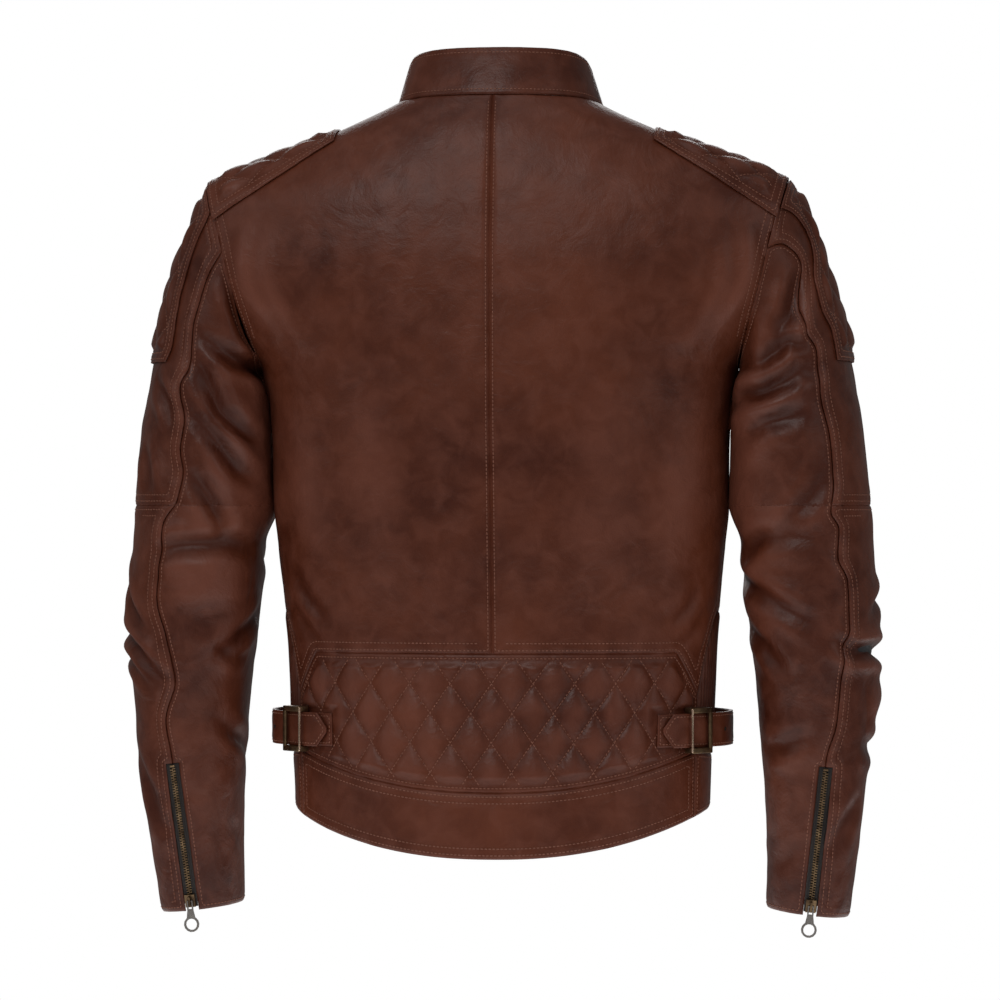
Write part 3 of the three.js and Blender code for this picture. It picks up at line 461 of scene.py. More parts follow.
for side in SIDES.values():
    for level in (-352, -378, -404, -432):  # the inside of the elbow, at the front
        turns = [(205, level - 6), (240, level + 8), (275, level + 4), (315, level - 10)]
        sleeve_folds[side].append(fold(on_sleeve(turns, side), 4.2, 7.0))
    for _ in range(14):
        start, level = rng.uniform(60, 330), rng.uniform(-660, -180)
        turns = [(start + k * 22, level - k * rng.uniform(4, 16)) for k in range(3)]
        sleeve_folds[side].append(
            fold(on_sleeve(turns, side), rng.uniform(0.8, 1.9), rng.uniform(5, 8)))

torso_folds = []
for turns, height, width, crease in [
    ([(48, -98), (45, -150), (41, -208)], 3.0, 9, False),
    ([(53, -110), (50, -165), (45, -225)], 2.2, 8, False),
    ([(134, -104), (137, -160), (141, -212)], 3.0, 9, False),
    ([(128, -116), (131, -165), (136, -222)], 2.0, 8, False),
    ([(33, -250), (36, -330), (44, -420)], 2.4, 20, False),
    ([(147, -245), (144, -330), (136, -430)], 2.4, 20, False),
    ([(60, -230), (63, -320), (66, -440)], 1.6, 26, False),
    ([(118, -225), (116, -320), (112, -440)], 1.6, 26, False),
    ([(155, -418), (148, -440), (140, -452)], 1.8, 7, True),
    ([(160, -440), (152, -458), (143, -470)], 1.6, 6, True),
    ([(24, -405), (33, -430), (42, -446)], 1.8, 7, True),
    ([(22, -432), (30, -452), (38, -466)], 1.4, 6, True),
    ([(300, -250), (306, -330), (312, -430)], 2.0, 20, False),
    ([(240, -250), (234, -330), (228, -430)], 2.0, 20, False),
    ([(318, -130), (322, -180), (330, -225)], 3.0, 9, False),
    ([(222, -130), (218, -180), (210, -225)], 3.0, 9, False),
    ([(336, -440), (322, -470), (308, -480)], 1.6, 9, True),
    ([(204, -430), (216, -465), (232, -478)], 1.6, 9, True),
]:
    torso_folds.append(fold(on_torso(turns), TORSO_DEEPER * height, TORSO_WIDER * width, crease))
print(len(torso_folds), "folds on the body,",
      [len(f) for f in sleeve_folds.values()], "on the sleeves")

# %% [markdown]
# ## Leather and metal
# Waxed cowhide is a dark red-brown with paler, slightly violet flecks at random, a fine pebbled
# grain, and wrinkles a few millimetres apart. High places are painted paler, partly as rubbed wear
# and partly as painted highlight, and valleys are painted darker as painted shade. Each panel
# carries a number at each point that says how high it stands, and the leather reads it. The grain
# is bump only: it is far too small to model.

# %% Node helpers and the leather
def shader(name, roughness, metallic=0.0, **sockets):
    """A new material, its node tree and its main shader, with even values on the sockets."""
    m = bpy.data.materials.new(name)
    m.use_nodes = True
    tree = m.node_tree
    main = tree.nodes["Principled BSDF"]
    main.inputs["Roughness"].default_value = roughness
    main.inputs["Metallic"].default_value = metallic
    for socket, value in sockets.items():
        main.inputs[socket.replace("_", " ")].default_value = value
    return m, tree, main


def node(tree, kind, inputs=None, **settings):
    n = tree.nodes.new(kind)
    for key, value in settings.items():
        setattr(n, key, value)
    for key, value in (inputs or {}).items():
        if isinstance(value, bpy.types.NodeSocket):
            tree.links.new(value, n.inputs[key])
        else:
            n.inputs[key].default_value = value
    return n


def mixed(tree, share, first, second):
    """first and second colours mixed by a share from 0 to 1."""
    mix = node(tree, "ShaderNodeMix", data_type="RGBA")
    for socket, value in (("Factor", share), ("A", first), ("B", second)):
        target = [s for s in mix.inputs if s.name == socket and s.enabled][0]
        if isinstance(value, bpy.types.NodeSocket):
            tree.links.new(value, target)
        else:
            target.default_value = value
    return [s for s in mix.outputs if s.enabled][0]


def ranged(tree, value, low, high, to_low, to_high):
    n = node(tree, "ShaderNodeMapRange", {"Value": value, "From Min": low, "From Max": high,
                                          "To Min": to_low, "To Max": to_high})
    return n.outputs["Result"]


def leather(name, base, dark, pale_colour, roughness=0.42, grain=1.0):
    m, tree, main = shader(name, roughness, Coat_Weight=0.04, Coat_Roughness=0.35,
                           Specular_IOR_Level=0.28)
    place = node(tree, "ShaderNodeTexCoord").outputs["Object"]
    wear = node(tree, "ShaderNodeAttribute", attribute_name="wear").outputs["Fac"]
    cloudy = node(tree, "ShaderNodeTexNoise", {"Vector": place, "Scale": 9.0, "Detail": 5.0,
                                               "Roughness": 0.6}).outputs["Fac"]
    mottle = node(tree, "ShaderNodeTexNoise", {"Vector": place, "Scale": 55.0, "Detail": 4.0,
                                               "Distortion": 0.6}).outputs["Fac"]
    colour = mixed(tree, ranged(tree, cloudy, 0.32, 0.68, 0.0, 1.0), dark, base)
    colour = mixed(tree, ranged(tree, mottle, 0.4, 0.75, 0.0, 0.35), colour, pale_colour)
    # Painted highlight and painted shade: high places are painted paler, partly as rubbed wear and
    # partly as painted highlight, and valleys are painted darker as painted shade.
    colour = mixed(tree, ranged(tree, wear, 0.15, 1.0, 0.0, 0.55), colour, pale_colour)
    colour = mixed(tree, ranged(tree, wear, -0.1, -1.0, 0.0, 0.7), colour, dark)
    tree.links.new(colour, main.inputs["Base Color"])
    tree.links.new(ranged(tree, cloudy, 0.3, 0.7, roughness - 0.06, roughness + 0.07),
                   main.inputs["Roughness"])
    pebble = node(tree, "ShaderNodeTexVoronoi", {"Vector": place, "Scale": 850.0},
                  feature="SMOOTH_F1").outputs["Distance"]
    wrinkle = node(tree, "ShaderNodeTexNoise", {"Vector": place, "Scale": 120.0, "Detail": 5.0,
                                                "Distortion": 1.4}).outputs["Fac"]
    creasy = node(tree, "ShaderNodeTexNoise", {"Vector": place, "Scale": 28.0, "Detail": 4.0,
                                               "Distortion": 2.2}).outputs["Fac"]
    low = node(tree, "ShaderNodeBump", {"Height": creasy, "Strength": 0.5 * grain,
                                        "Distance": 0.0022}).outputs["Normal"]
    mid = node(tree, "ShaderNodeBump", {"Height": wrinkle, "Strength": 0.4 * grain,
                                        "Distance": 0.0007, "Normal": low}).outputs["Normal"]
    top = node(tree, "ShaderNodeBump", {"Height": pebble, "Strength": 0.5 * grain,
                                        "Distance": 0.00022, "Normal": mid}).outputs["Normal"]
    tree.links.new(top, main.inputs["Normal"])
    return m


HIDE = ((0.15, 0.036, 0.0145, 1), (0.062, 0.0125, 0.0052, 1), (0.225, 0.074, 0.046, 1))
hide = leather("waxed cowhide", *HIDE)
padded_hide = leather("quilted cowhide", *HIDE, roughness=0.4)
soft_hide = leather("soft sleeve hide", *HIDE, roughness=0.44)
ribbed_hide = leather("ribbed stretch hide", (0.12, 0.031, 0.015, 1), (0.05, 0.012, 0.006, 1),
                      (0.19, 0.065, 0.042, 1), roughness=0.48)
print("leather:", [m.name for m in (hide, padded_hide, soft_hide, ribbed_hide)])

# %% [markdown]
# Thread, cloth and metal. The thread is a waxed polyester a shade lighter than the hide. Zip
# tape and lining are dark cloth with a fine weave. The zips and buckles are antiqued brass,
# dull and rubbed bright in patches that lie at random.

# %% Thread, cloth, foam and metal
def woven(name, colour, second, scale, roughness=0.85):
    m, tree, main = shader(name, roughness, Sheen_Weight=0.25, Sheen_Roughness=0.5)
    place = node(tree, "ShaderNodeTexCoord").outputs["Object"]
    warp = node(tree, "ShaderNodeTexWave", {"Vector": place, "Scale": scale, "Distortion": 0.3},
                bands_direction="X").outputs["Fac"]
    weft = node(tree, "ShaderNodeTexWave", {"Vector": place, "Scale": scale, "Distortion": 0.3},
                bands_direction="Z").outputs["Fac"]
    weave = node(tree, "ShaderNodeMath", {0: warp, 1: weft}, operation="MULTIPLY").outputs[0]
    tree.links.new(mixed(tree, weave, second, colour), main.inputs["Base Color"])
    bump = node(tree, "ShaderNodeBump", {"Height": weave, "Strength": 0.5, "Distance": 0.0003})
    tree.links.new(bump.outputs["Normal"], main.inputs["Normal"])
    return m


def metal(name, bright, dull, roughness, scale=90.0):
    m, tree, main = shader(name, roughness, metallic=1.0)
    place = node(tree, "ShaderNodeTexCoord").outputs["Object"]
    patch = node(tree, "ShaderNodeTexNoise", {"Vector": place, "Scale": scale, "Detail": 6.0,
                                              "Roughness": 0.7}).outputs["Fac"]
    scratch = node(tree, "ShaderNodeTexNoise", {"Vector": place, "Scale": scale * 9,
                                                "Detail": 3.0}).outputs["Fac"]
    tree.links.new(mixed(tree, ranged(tree, patch, 0.35, 0.65, 0.0, 1.0), dull, bright),
                   main.inputs["Base Color"])
    tree.links.new(ranged(tree, patch, 0.3, 0.7, roughness + 0.12, roughness - 0.05),
                   main.inputs["Roughness"])
    bump = node(tree, "ShaderNodeBump", {"Height": scratch, "Strength": 0.25, "Distance": 0.0002})
    tree.links.new(bump.outputs["Normal"], main.inputs["Normal"])
    return m


def thread_material():
    m, tree, main = shader("waxed thread", 0.55)
    place = node(tree, "ShaderNodeTexCoord").outputs["Object"]
    tone = node(tree, "ShaderNodeTexNoise", {"Vector": place, "Scale": 60.0}).outputs["Fac"]
    twist = node(tree, "ShaderNodeTexNoise", {"Vector": place, "Scale": 1800.0}).outputs["Fac"]
    tree.links.new(mixed(tree, tone, (0.17, 0.056, 0.03, 1), (0.33, 0.13, 0.08, 1)),
                   main.inputs["Base Color"])
    bump = node(tree, "ShaderNodeBump", {"Height": twist, "Strength": 0.5, "Distance": 0.0002})
    tree.links.new(bump.outputs["Normal"], main.inputs["Normal"])
    return m


thread = thread_material()
zip_cloth = woven("zip tape cloth", (0.035, 0.024, 0.02, 1), (0.012, 0.009, 0.008, 1), 700.0)
lining_cloth = woven("lining cloth", (0.03, 0.026, 0.025, 1), (0.012, 0.011, 0.011, 1), 420.0, 0.6)
foam = woven("pad foam", (0.05, 0.052, 0.056, 1), (0.03, 0.031, 0.034, 1), 300.0, 0.95)
brass = metal("antiqued brass", (0.30, 0.20, 0.11, 1), (0.07, 0.042, 0.025, 1), 0.38)
bright_brass = metal("rubbed brass", (0.83, 0.62, 0.47, 1), (0.55, 0.37, 0.25, 1), 0.22)
nickel = metal("worn nickel", (0.62, 0.58, 0.54, 1), (0.3, 0.27, 0.25, 1), 0.26)
# A near-black finish for the strap hole: painted shade where a hole would be.
painted_hole_shade, _, _ = shader("punched hole", 0.9)
painted_hole_shade_look = painted_hole_shade.node_tree.nodes["Principled BSDF"]
painted_hole_shade_look.inputs["Base Color"].default_value = (0.004, 0.003, 0.002, 1)
print("metals:", brass.name, bright_brass.name, nickel.name)

# %% [markdown]
# ## Cutting a panel
# A panel starts as a flat net. Each point keeps two numbers, its place on the form, through every
# cut, so that when a plane has trimmed the net, the new edge points still know where on the form
# they belong. Then the net is laid on the form, and its relief is worked out point by point.
# The distance to the panel's own edge drives the turned edge, which rolls down into the seam.

# %% Cut a net and lay it on the form
class Panel:
    """A net on a form: bm, the two numbers of each point, and the surface they are on."""

    def __init__(self, surface, across, ends, cells, mirror=LEFT, step=(0.2, 0.2)):
        self.surface, self.mirror, self.step = surface, mirror, step
        self.bm = bmesh.new()
        bmesh.ops.create_grid(self.bm, x_segments=cells[0], y_segments=cells[1], size=0.5)
        self.round = self.bm.verts.layers.float.new("round")
        self.up = self.bm.verts.layers.float.new("up")
        for v in self.bm.verts:
            a = between(across[0], across[1], v.co.x + 0.5)
            low, high = ends(a)
            v[self.round], v[self.up] = a, between(low, high, v.co.y + 0.5)
        self.lay()

    def places(self):
        a = np.array([v[self.round] for v in self.bm.verts])
        b = np.array([v[self.up] for v in self.bm.verts])
        flip = np.array([self.mirror, 1, 1])
        return self.surface(a, b) * flip, facing(self.surface, a, b, self.step) * flip, a, b

    def lay(self):
        for v, p in zip(self.bm.verts, self.places()[0] * MM):
            v.co = p

    def cut(self, at, way, drop=True, only=lambda c: True):
        """Cuts along a plane, at and way in millimetres, and drops what lies beyond it."""
        faces = [f for f in self.bm.faces if only(f.calc_center_median() / MM)]
        geom = (set(faces) | {e for f in faces for e in f.edges}
                | {v for f in faces for v in f.verts})
        bmesh.ops.bisect_plane(self.bm, geom=list(geom), dist=1e-6, plane_co=Vector(at) * MM,
                               plane_no=Vector(way), clear_outer=drop, clear_inner=False)
        return self

    def drop(self, unwanted):
        gone = [f for f in self.bm.faces if unwanted(f.calc_center_median() / MM)]
        bmesh.ops.delete(self.bm, geom=gone, context="FACES")
        return self


def edge_distance(bm, p, hidden):
    """Each point's distance to the panel's edge, in millimetres, leaving out hidden edges."""
    marks = []
    for e in bm.edges:
        if e.is_boundary:
            a, b = (np.array(v.co) / MM for v in e.verts)
            if hidden((a + b) / 2):
                continue
            n = max(1, int(np.linalg.norm(b - a) / 1.2))
            marks += [a + (b - a) * k / n for k in range(n)]
    tree = KDTree(len(marks))
    for i, m in enumerate(marks):
        tree.insert(m, i)
    tree.balance()
    return np.array([tree.find(q)[2] for q in p])


def linked(name, mesh, *materials):
    o = bpy.data.objects.new(name, mesh)
    bpy.context.collection.objects.link(o)
    for m in materials:
        mesh.materials.append(m)
    return o


def finish_mesh(bm, name, *materials, smooth=True):
    """A bmesh as an object whose place is in its mesh."""
    mesh = bpy.data.meshes.new(name)
    bm.to_mesh(mesh)
    bm.free()
    mesh.shade_smooth() if smooth else mesh.shade_flat()
    return linked(name, mesh, *materials)


def settle(o):
    """Turns an object's modifiers into its mesh."""
    bpy.context.view_layer.update()
    done = bpy.data.meshes.new_from_object(o.evaluated_get(bpy.context.evaluated_depsgraph_get()))
    o.modifiers.clear()
    o.data = done
    return o


# %% [markdown]
# ## Stitching
# Every seam on the jacket is topstitched with a thick thread. A stitch is one small bead of
# thread, pressed into the leather, and a seam is a row of a few hundred of them. The rows are
# level lines on the panel: a topstitch is where the distance to the edge is 4 mm, and a quilting
# line is where one of the quilt's two counts is a whole number. So a row always follows its panel
# round corners and over folds. All the beads that move together make one piece.

# %% Rows of thread along level lines
PITCH = 3.4
thread_rows = {}  # spots of thread, by the group that they move with


def unbroken(links):
    """Chains of linked keys, the open ones first."""
    chains, used = [], set()
    for start in sorted(links, key=lambda k: len(links[k])):
        if start in used:
            continue
        chain = [start]
        used.add(start)
        while True:
            step = [k for k in links[chain[-1]] if k not in used]
            if not step:
                break
            chain.append(step[0])
            used.add(step[0])
        if len(links[start]) == 2 and len(chain) > 2 and chain[0] in links[chain[-1]]:
            chain.append(chain[0])
        chains.append(chain)
    return chains


def level_lines(bm, place, ways, value, levels, keep):
    """Lines on the net where value crosses one of the levels, as (points, ways) pairs."""
    cross = {}
    for e in bm.edges:
        i, j = (v.index for v in e.verts)
        low, high = sorted((value[i], value[j]))
        for level in levels:
            if low < level <= high:
                s = (level - value[i]) / (value[j] - value[i])
                cross[(e.index, level)] = (
                    between(place[i], place[j], s), between(ways[i], ways[j], s),
                    between(keep[i], keep[j], s) > 0)
    links = {}
    for f in bm.faces:
        for level in levels:
            met = [(e.index, level) for e in f.edges if (e.index, level) in cross]
            met = [k for k in met if cross[k][2]]
            if len(met) == 2:
                links.setdefault(met[0], []).append(met[1])
                links.setdefault(met[1], []).append(met[0])
    return [(np.array([cross[k][0] for k in c]), np.array([cross[k][1] for k in c]))
            for c in unbroken(links)]


def sew(group, line, ways, pitch=PITCH, sink=0.05):
    """Lays beads of thread at an even pitch along a line, facing out."""
    step = np.concatenate([[0], np.cumsum(np.linalg.norm(np.diff(line, axis=0), axis=1))])
    if step[-1] < 2 * pitch:
        return
    s = np.arange(pitch / 2, step[-1], pitch)
    p = np.stack([np.interp(s, step, line[:, k]) for k in range(3)], -1)
    n = unit(np.stack([np.interp(s, step, ways[:, k]) for k in range(3)], -1))
    t = unit(np.gradient(p, axis=0))
    across = unit(np.cross(n, t))
    spots = zip(p + n * sink, t, across, np.cross(t, across))
    thread_rows.setdefault(group, []).extend(spots)


def copies(name, shape, spots, material):
    """One mesh with a copy of a small shape at each spot: (place, along, across, out), in mm."""
    shape.verts.index_update()
    model = np.array([v.co for v in shape.verts])
    faces = [[v.index for v in f.verts] for f in shape.faces]
    place, along, across, out = (np.array([s[k] for s in spots]) for k in range(4))
    points = (place[:, None] + model[None, :, 0:1] * along[:, None]
              + model[None, :, 1:2] * across[:, None] + model[None, :, 2:3] * out[:, None])
    shift = np.arange(len(spots)) * len(model)
    mesh = bpy.data.meshes.new(name)
    mesh.from_pydata((points.reshape(-1, 3) * MM).tolist(), [],
                     [[i + s for i in f] for s in shift.tolist() for f in faces])
    mesh.shade_smooth()
    shape.free()
    return linked(name, mesh, material)


def bead_of_thread():
    bm = bmesh.new()
    bmesh.ops.create_uvsphere(bm, u_segments=6, v_segments=3, radius=0.5)
    bmesh.ops.rotate(bm, verts=bm.verts, matrix=Matrix.Rotation(math.pi / 2, 3, "Y"))
    bmesh.ops.scale(bm, verts=bm.verts, vec=(2.8, 1.15, 0.9))
    return bm


# %% [markdown]
# ## Finishing a panel
# A cut panel gets its relief, its turned edge, a shallow channel under each row of thread and
# the fine puckering that thread pulls into leather beside a seam. Then it gets its wall, and the
# size that it was cut to is noted.

# %% Lay relief on a panel and sew it
SEAM_INSET, TWIN_INSET = 3.8, 9.0
WELT_WIDE, WELT_HIGH = 11.0, 0.9
pattern = {}  # each panel's flat area, and its greatest width and length


def dress(name, panel, material, relief, group, wall=2.2, roll=1.3, lift=0.0, rows=(SEAM_INSET,),
          keep=None, lines=None, border=7.0, hidden=lambda q: False, pucker=0.3, twin=None):
    """Turns a net into a sewn panel. relief(p, a, b, d) and every size are in millimetres."""
    bm = panel.bm
    panel.lay()
    bmesh.ops.recalc_face_normals(bm, faces=bm.faces)
    for items in (bm.verts, bm.edges, bm.faces):
        items.index_update()
        items.ensure_lookup_table()
    p, n, a, b = panel.places()
    middle = bm.faces[len(bm.faces) // 2]
    if middle.normal.dot(Vector(n[middle.verts[0].index])) < 0:
        bmesh.ops.reverse_faces(bm, faces=bm.faces)
    d = edge_distance(bm, p, hidden)
    area = sum(f.calc_area() for f in bm.faces)
    span = [float(np.ptp(p[:, k])) * MM for k in range(3)]
    pattern[name] = (area, span)

    kept = np.ones(len(p)) if keep is None else np.where(keep(p), 1.0, -1.0)
    shape = relief(p, a, b, d)
    off_armhole = np.abs(np.abs(p[:, 0]) * OUT[0] + p[:, 2] * OUT[2] - ARMHOLE_AT)
    turned = -roll * np.exp(-((d / 1.7) ** 2)) * (0.3 + 0.7 * np.clip(off_armhole / 9, 0, 1))
    drawn = pucker * np.exp(-d / 9) * soft_noise(p, 7.5, seed=3.0)
    second = np.full(len(p), -1.0) if twin is None else np.where(twin(p, a, b), 1.0, -1.0)
    seams = [(inset, kept) for inset in rows] + [(TWIN_INSET, second)]
    channel = sum((-0.45 * np.exp(-(((d - inset) / 1.4) ** 2)) * (held > 0)
                   for inset, held in seams), 0.0)
    final = p + n * (shape + turned + drawn + channel + lift)[:, None]
    # The hide's painted highlight and painted shade: how high each point stands above the panel's
    # median, so the leather paints high places paler (partly rubbed wear, partly painted highlight)
    # and valleys darker (painted shade); points within 2 mm of the edge are made paler.
    worn = np.clip((shape - np.median(shape)) / 4.0 + drawn, -1, 1)
    worn = np.where(d < 2.0, np.maximum(worn, 0.5 * (1 - d / 2.0)), worn)
    wear = bm.verts.layers.float.new("wear")
    for v, q, w in zip(bm.verts, final * MM, worn):
        v.co, v[wear] = q, w

    for inset, held in seams:
        for line, ways in level_lines(bm, final, n, d, [inset], held):
            sew(group, line, ways)
    for value in lines(p, a, b) if lines else []:
        inside = d - border
        levels = range(math.ceil(value.min()), math.floor(value.max()) + 1)
        for line, ways in level_lines(bm, final, n, value, list(levels), inside):
            sew(group + "_quilting", line, ways)

    o = finish_mesh(bm, name, material)
    thick = o.modifiers.new("wall", "SOLIDIFY")
    thick.thickness, thick.offset = wall * MM, -1
    settle(o)
    print(name, len(o.data.polygons), "faces,", round(area * 1e4), "cm2")
    return o


def sheet_of(o):
    """Works out the width of the piece of hide that a panel was cut from, and keeps nothing of it.
    """
    area, span = pattern[o.name]
    width, length = sorted(span)[1:]
    girth = max(width, area / length)
    width = max(girth * 1.02, 0.011)


# %% [markdown]
# ## The quilting
# The shoulder patches, the sleeve heads and the low back are padded and sewn in diamonds. Two
# families of slanting lines cross; between them the padding pushes the leather up into pillows,
# highest in the middle of each diamond and pinched to nothing where lines cross. The two counts
# of a point say how many lines of each family lie between it and the start.

# %% Diamonds and the relief of plain panels
def diamonds(s, z, wide, high):
    return s / wide + z / high, s / wide - z / high


def pillows(counts, height, d, border, power=0.5):
    swell = np.abs(np.sin(np.pi * counts[0]) * np.sin(np.pi * counts[1])) ** power
    edge = np.clip((d - border) / 7, 0, 1)
    return height * swell * edge * edge * (3 - 2 * edge)


def rim(d, wide, high=0.8):
    """A doubled border round a patch."""
    return high * np.clip((wide - d) / 1.5, 0, 1)


def gently(v):
    v = np.clip(v, 0, 1)
    return v * v * (3 - 2 * v)


ARM_REST, ARM_SWELL, SIDE_SWELL = 1.9, 12, 1.6  # where the sleeve rests on the body


def under_arm(z):
    """1 where the sleeve rests against the body, fading to 0 above and below."""
    return gently((-230 - z) / 14) * gently((z + 384) / 36)


def body_relief(p, a=None, b=None, d=None):
    side = np.clip((np.abs(p[:, 0]) - 165) / 25, 0, 1)
    return (fold_relief(p, torso_folds) + 1.1 * soft_noise(p, 75, seed=1.0)
            + 0.4 * soft_noise(p, 22, stretch=(1, 1, 0.6), seed=5.0)
            + SIDE_SWELL * side * under_arm(p[:, 2]))


def sleeve_relief(side):
    def relief(p, a, b=None, d=None):
        room = np.clip(np.abs(p[:, 0]) - half_width(p[:, 2]) - ARM_REST, 0, ARM_SWELL)
        rest = room * np.exp(-(((a - 180) / 45) ** 2)) * under_arm(p[:, 2])
        loose = 1 - 0.8 * under_arm(p[:, 2]) * np.exp(-(((a - 180) / 35) ** 2))
        return (fold_relief(p, sleeve_folds[side]) * loose
                + 1.5 * soft_noise(p, 48, seed=2.0 + side) * loose
                + 0.5 * soft_noise(p, 17, seed=6.0 + side) + rest)
    return relief


def welt(a):
    """The raised strip that runs down the outer side of a sleeve's back seam."""
    return WELT_HIGH * np.clip((WELT_WIDE - (BACK_SEAM - a) * 1.05) / 1.5, 0, 1)


# %% [markdown]
# ## The body
# The back is two long panels joined down the middle, each curving up at its side seam to clear
# a ribbed panel that lets the waist stretch. The front is two panels on either side of the zip.
# The quilted piece across the low back has its top corners cut off, and a plain band closes
# the hem all round.

# %% Back, front, ribs, quilt and bands
QUILT_FROM, CORNER, CORNER_RUN = 22.0, 36.0, 13.6
HEM_BAND, FRONT_BAND = 56.0, -568.0
ARCH_TOP, ARCH_DROP = -440.0, 72.0
NECK_SEAM = -0.2
SIDE_SEAM = 3.0
ZIP_HALF = 5.9


def hem(u):
    return SIDE_HEM - TAIL * max(0.0, math.sin(math.radians(u))) ** 2


def band_seam(u):
    return hem(u) + HEM_BAND


def quilt_top(u):
    inside = min(u - QUILT_FROM, 180 - QUILT_FROM - u)
    return WAIST - CORNER * max(0.0, 1 - inside / CORNER_RUN)


def side_arch(u):
    return ARCH_TOP - ARCH_DROP * (abs(u - 2) / 20) ** 2.2


def front_low(u):
    return FRONT_BAND if u < 342 else side_arch(u - 360)


def low_front_side(u):
    return between(FRONT_BAND, band_seam(QUILT_FROM), (u + 18) / 40)


def off_body(panel, side):
    """Cuts a body panel at the armhole."""
    return panel.cut((side * SHOULDER[0], 0, SHOULDER[1]), (side * OUT[0], 0, OUT[2]),
                     only=lambda c: c.z > -241)


body_pieces = []
zips = {}


def on_body(o, node_name, slot="leather"):
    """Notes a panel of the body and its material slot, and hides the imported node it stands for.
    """
    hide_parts(node_name)
    body_pieces.append((o, slot))


def carried(o, body):
    """Hangs a piece on one body of the part."""
    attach(o, body)


def zip_frame(bottom, top, outward, lift):
    """The frame of a zip: where it starts, its ways across, along and out, and its length."""
    bottom, top = np.asarray(bottom, float), np.asarray(top, float)
    along = unit(top - bottom)
    across = unit(np.cross(along, outward))
    out = np.cross(across, along)
    return {"at": bottom + out * lift, "across": across, "along": along, "out": out,
            "length": float(np.linalg.norm(top - bottom))}


def mirrored(frame, side):
    if side == LEFT:
        return frame
    flip = np.array([-1, 1, 1])
    return {k: v if k == "length" else v * flip for k, v in frame.items()}


def slot_cut(panel, frame, below=60.0, above=0.6):
    """Opens a panel for a zip."""
    at, across, along, out = (Vector(frame[k]) for k in ("at", "across", "along", "out"))

    def near_slot(c):
        q = c - at
        return (abs(q.dot(across)) < 25 and -below - 12 < q.dot(along) < frame["length"] + 25
                and abs(q.dot(out)) < 30)

    ends = [(at + across * ZIP_HALF, across), (at - across * ZIP_HALF, across),
            (at + along * (frame["length"] + above), along), (at - along * below, along)]
    for place, way in ends:
        panel.cut(place, way, drop=False, only=near_slot)

    def in_slot(c):
        q = c - at
        return (abs(q.dot(across)) < ZIP_HALF and -below < q.dot(along) < frame["length"] + above
                and abs(q.dot(out)) < 30)

    return panel.drop(in_slot)


zips["front"] = zip_frame(torso(270.0, SIDE_HEM + 4), torso(270.0, -4.0), (0, -1, 0), -1.2)
pocket = zip_frame(torso(319.0, -556.0), torso(310.0, -432.0), facing(torso, 314.0, -495.0), -1.2)
for label, side in SIDES.items():
    zips["pocket_" + label] = mirrored(pocket, side)
    back = Panel(torso, (SIDE_SEAM, 90),
                 lambda u: (quilt_top(u) if u >= 22 else side_arch(u), NECK_SEAM), (110, 230), side)
    off_body(back, side)
    o = dress("back_" + label, back, hide, body_relief, "body", rows=(3.0,),
              keep=lambda p: p[:, 2] < -6,
              twin=lambda p, a, b: ((p[:, 2] < -425) & (np.abs(p[:, 0]) > 11)
                                    | (np.abs(p[:, 0]) > 206)))
    on_body(o, "back_panel_" + label)

    front = Panel(torso, (270, 360 + SIDE_SEAM), lambda u: (front_low(u), NECK_SEAM),
                  (100, 230), side)
    off_body(front, side)
    front.cut((side * (ZIP_HALF + 0.4), 0, 0), (-side, 0, 0))
    slot_cut(front, zips["pocket_" + label], below=0.6)
    o = dress("front_" + label, front, hide, body_relief, "body", rows=(3.6,),
              keep=lambda p: p[:, 2] < p[:, 2].max() - 8)
    on_body(o, "front_panel_" + label)

    ribs = Panel(torso, (-18, QUILT_FROM), lambda u: (low_front_side(u), side_arch(u)),
                 (160, 40), side)
    o = dress("ribbed_side_" + label, ribs, ribbed_hide,
              lambda p, a, b, d: (
                  body_relief(p)
                  + 1.3 * np.abs(np.sin(np.pi * (a + 18) / 2.5)) ** 0.7 * np.clip(d / 5, 0, 1)),
              "body", rows=(), roll=1.8, lift=-0.5)
    on_body(o, "side_panel_" + label, "stretch_leather")

    low_side = Panel(torso, (-18, QUILT_FROM), lambda u: (hem(u), low_front_side(u)),
                     (34, 24), side)
    o = dress("side_band_" + label, low_side, hide, body_relief, "body")
    body_pieces.append((o, "leather"))

    low_front = Panel(torso, (270, 342), lambda u: (SIDE_HEM, FRONT_BAND), (70, 22), side)
    low_front.cut((side * (ZIP_HALF + 0.4), 0, 0), (-side, 0, 0))
    o = dress("front_band_" + label, low_front, hide, body_relief, "body")
    on_body(o, "front_hem_band_" + label)

girth_u = np.linspace(0, 180, 721)
girth = np.concatenate([
    [0], np.cumsum(np.linalg.norm(np.diff(torso(girth_u, -530.0), axis=0), axis=1))])
girth -= np.interp(90, girth_u, girth)
LOW_WIDE, LOW_HIGH = 35.0, 50.0


def low_counts(p, a, b):
    return diamonds(np.interp(a, girth_u, girth) + LOW_WIDE / 2, b - WAIST, LOW_WIDE, LOW_HIGH)


def low_pillows(p, a, b, d):
    under_chape = np.clip((np.abs(np.abs(a - 90) - 90) - 44) / 4, 0, 1)
    under_chape = np.maximum(under_chape, np.clip((np.abs(b + 542) - 17) / 5, 0, 1))
    return (body_relief(p) * 0.5
            + pillows(low_counts(p, a, b), 4.2, d, 6.0, 0.42) * (0.15 + 0.85 * under_chape))


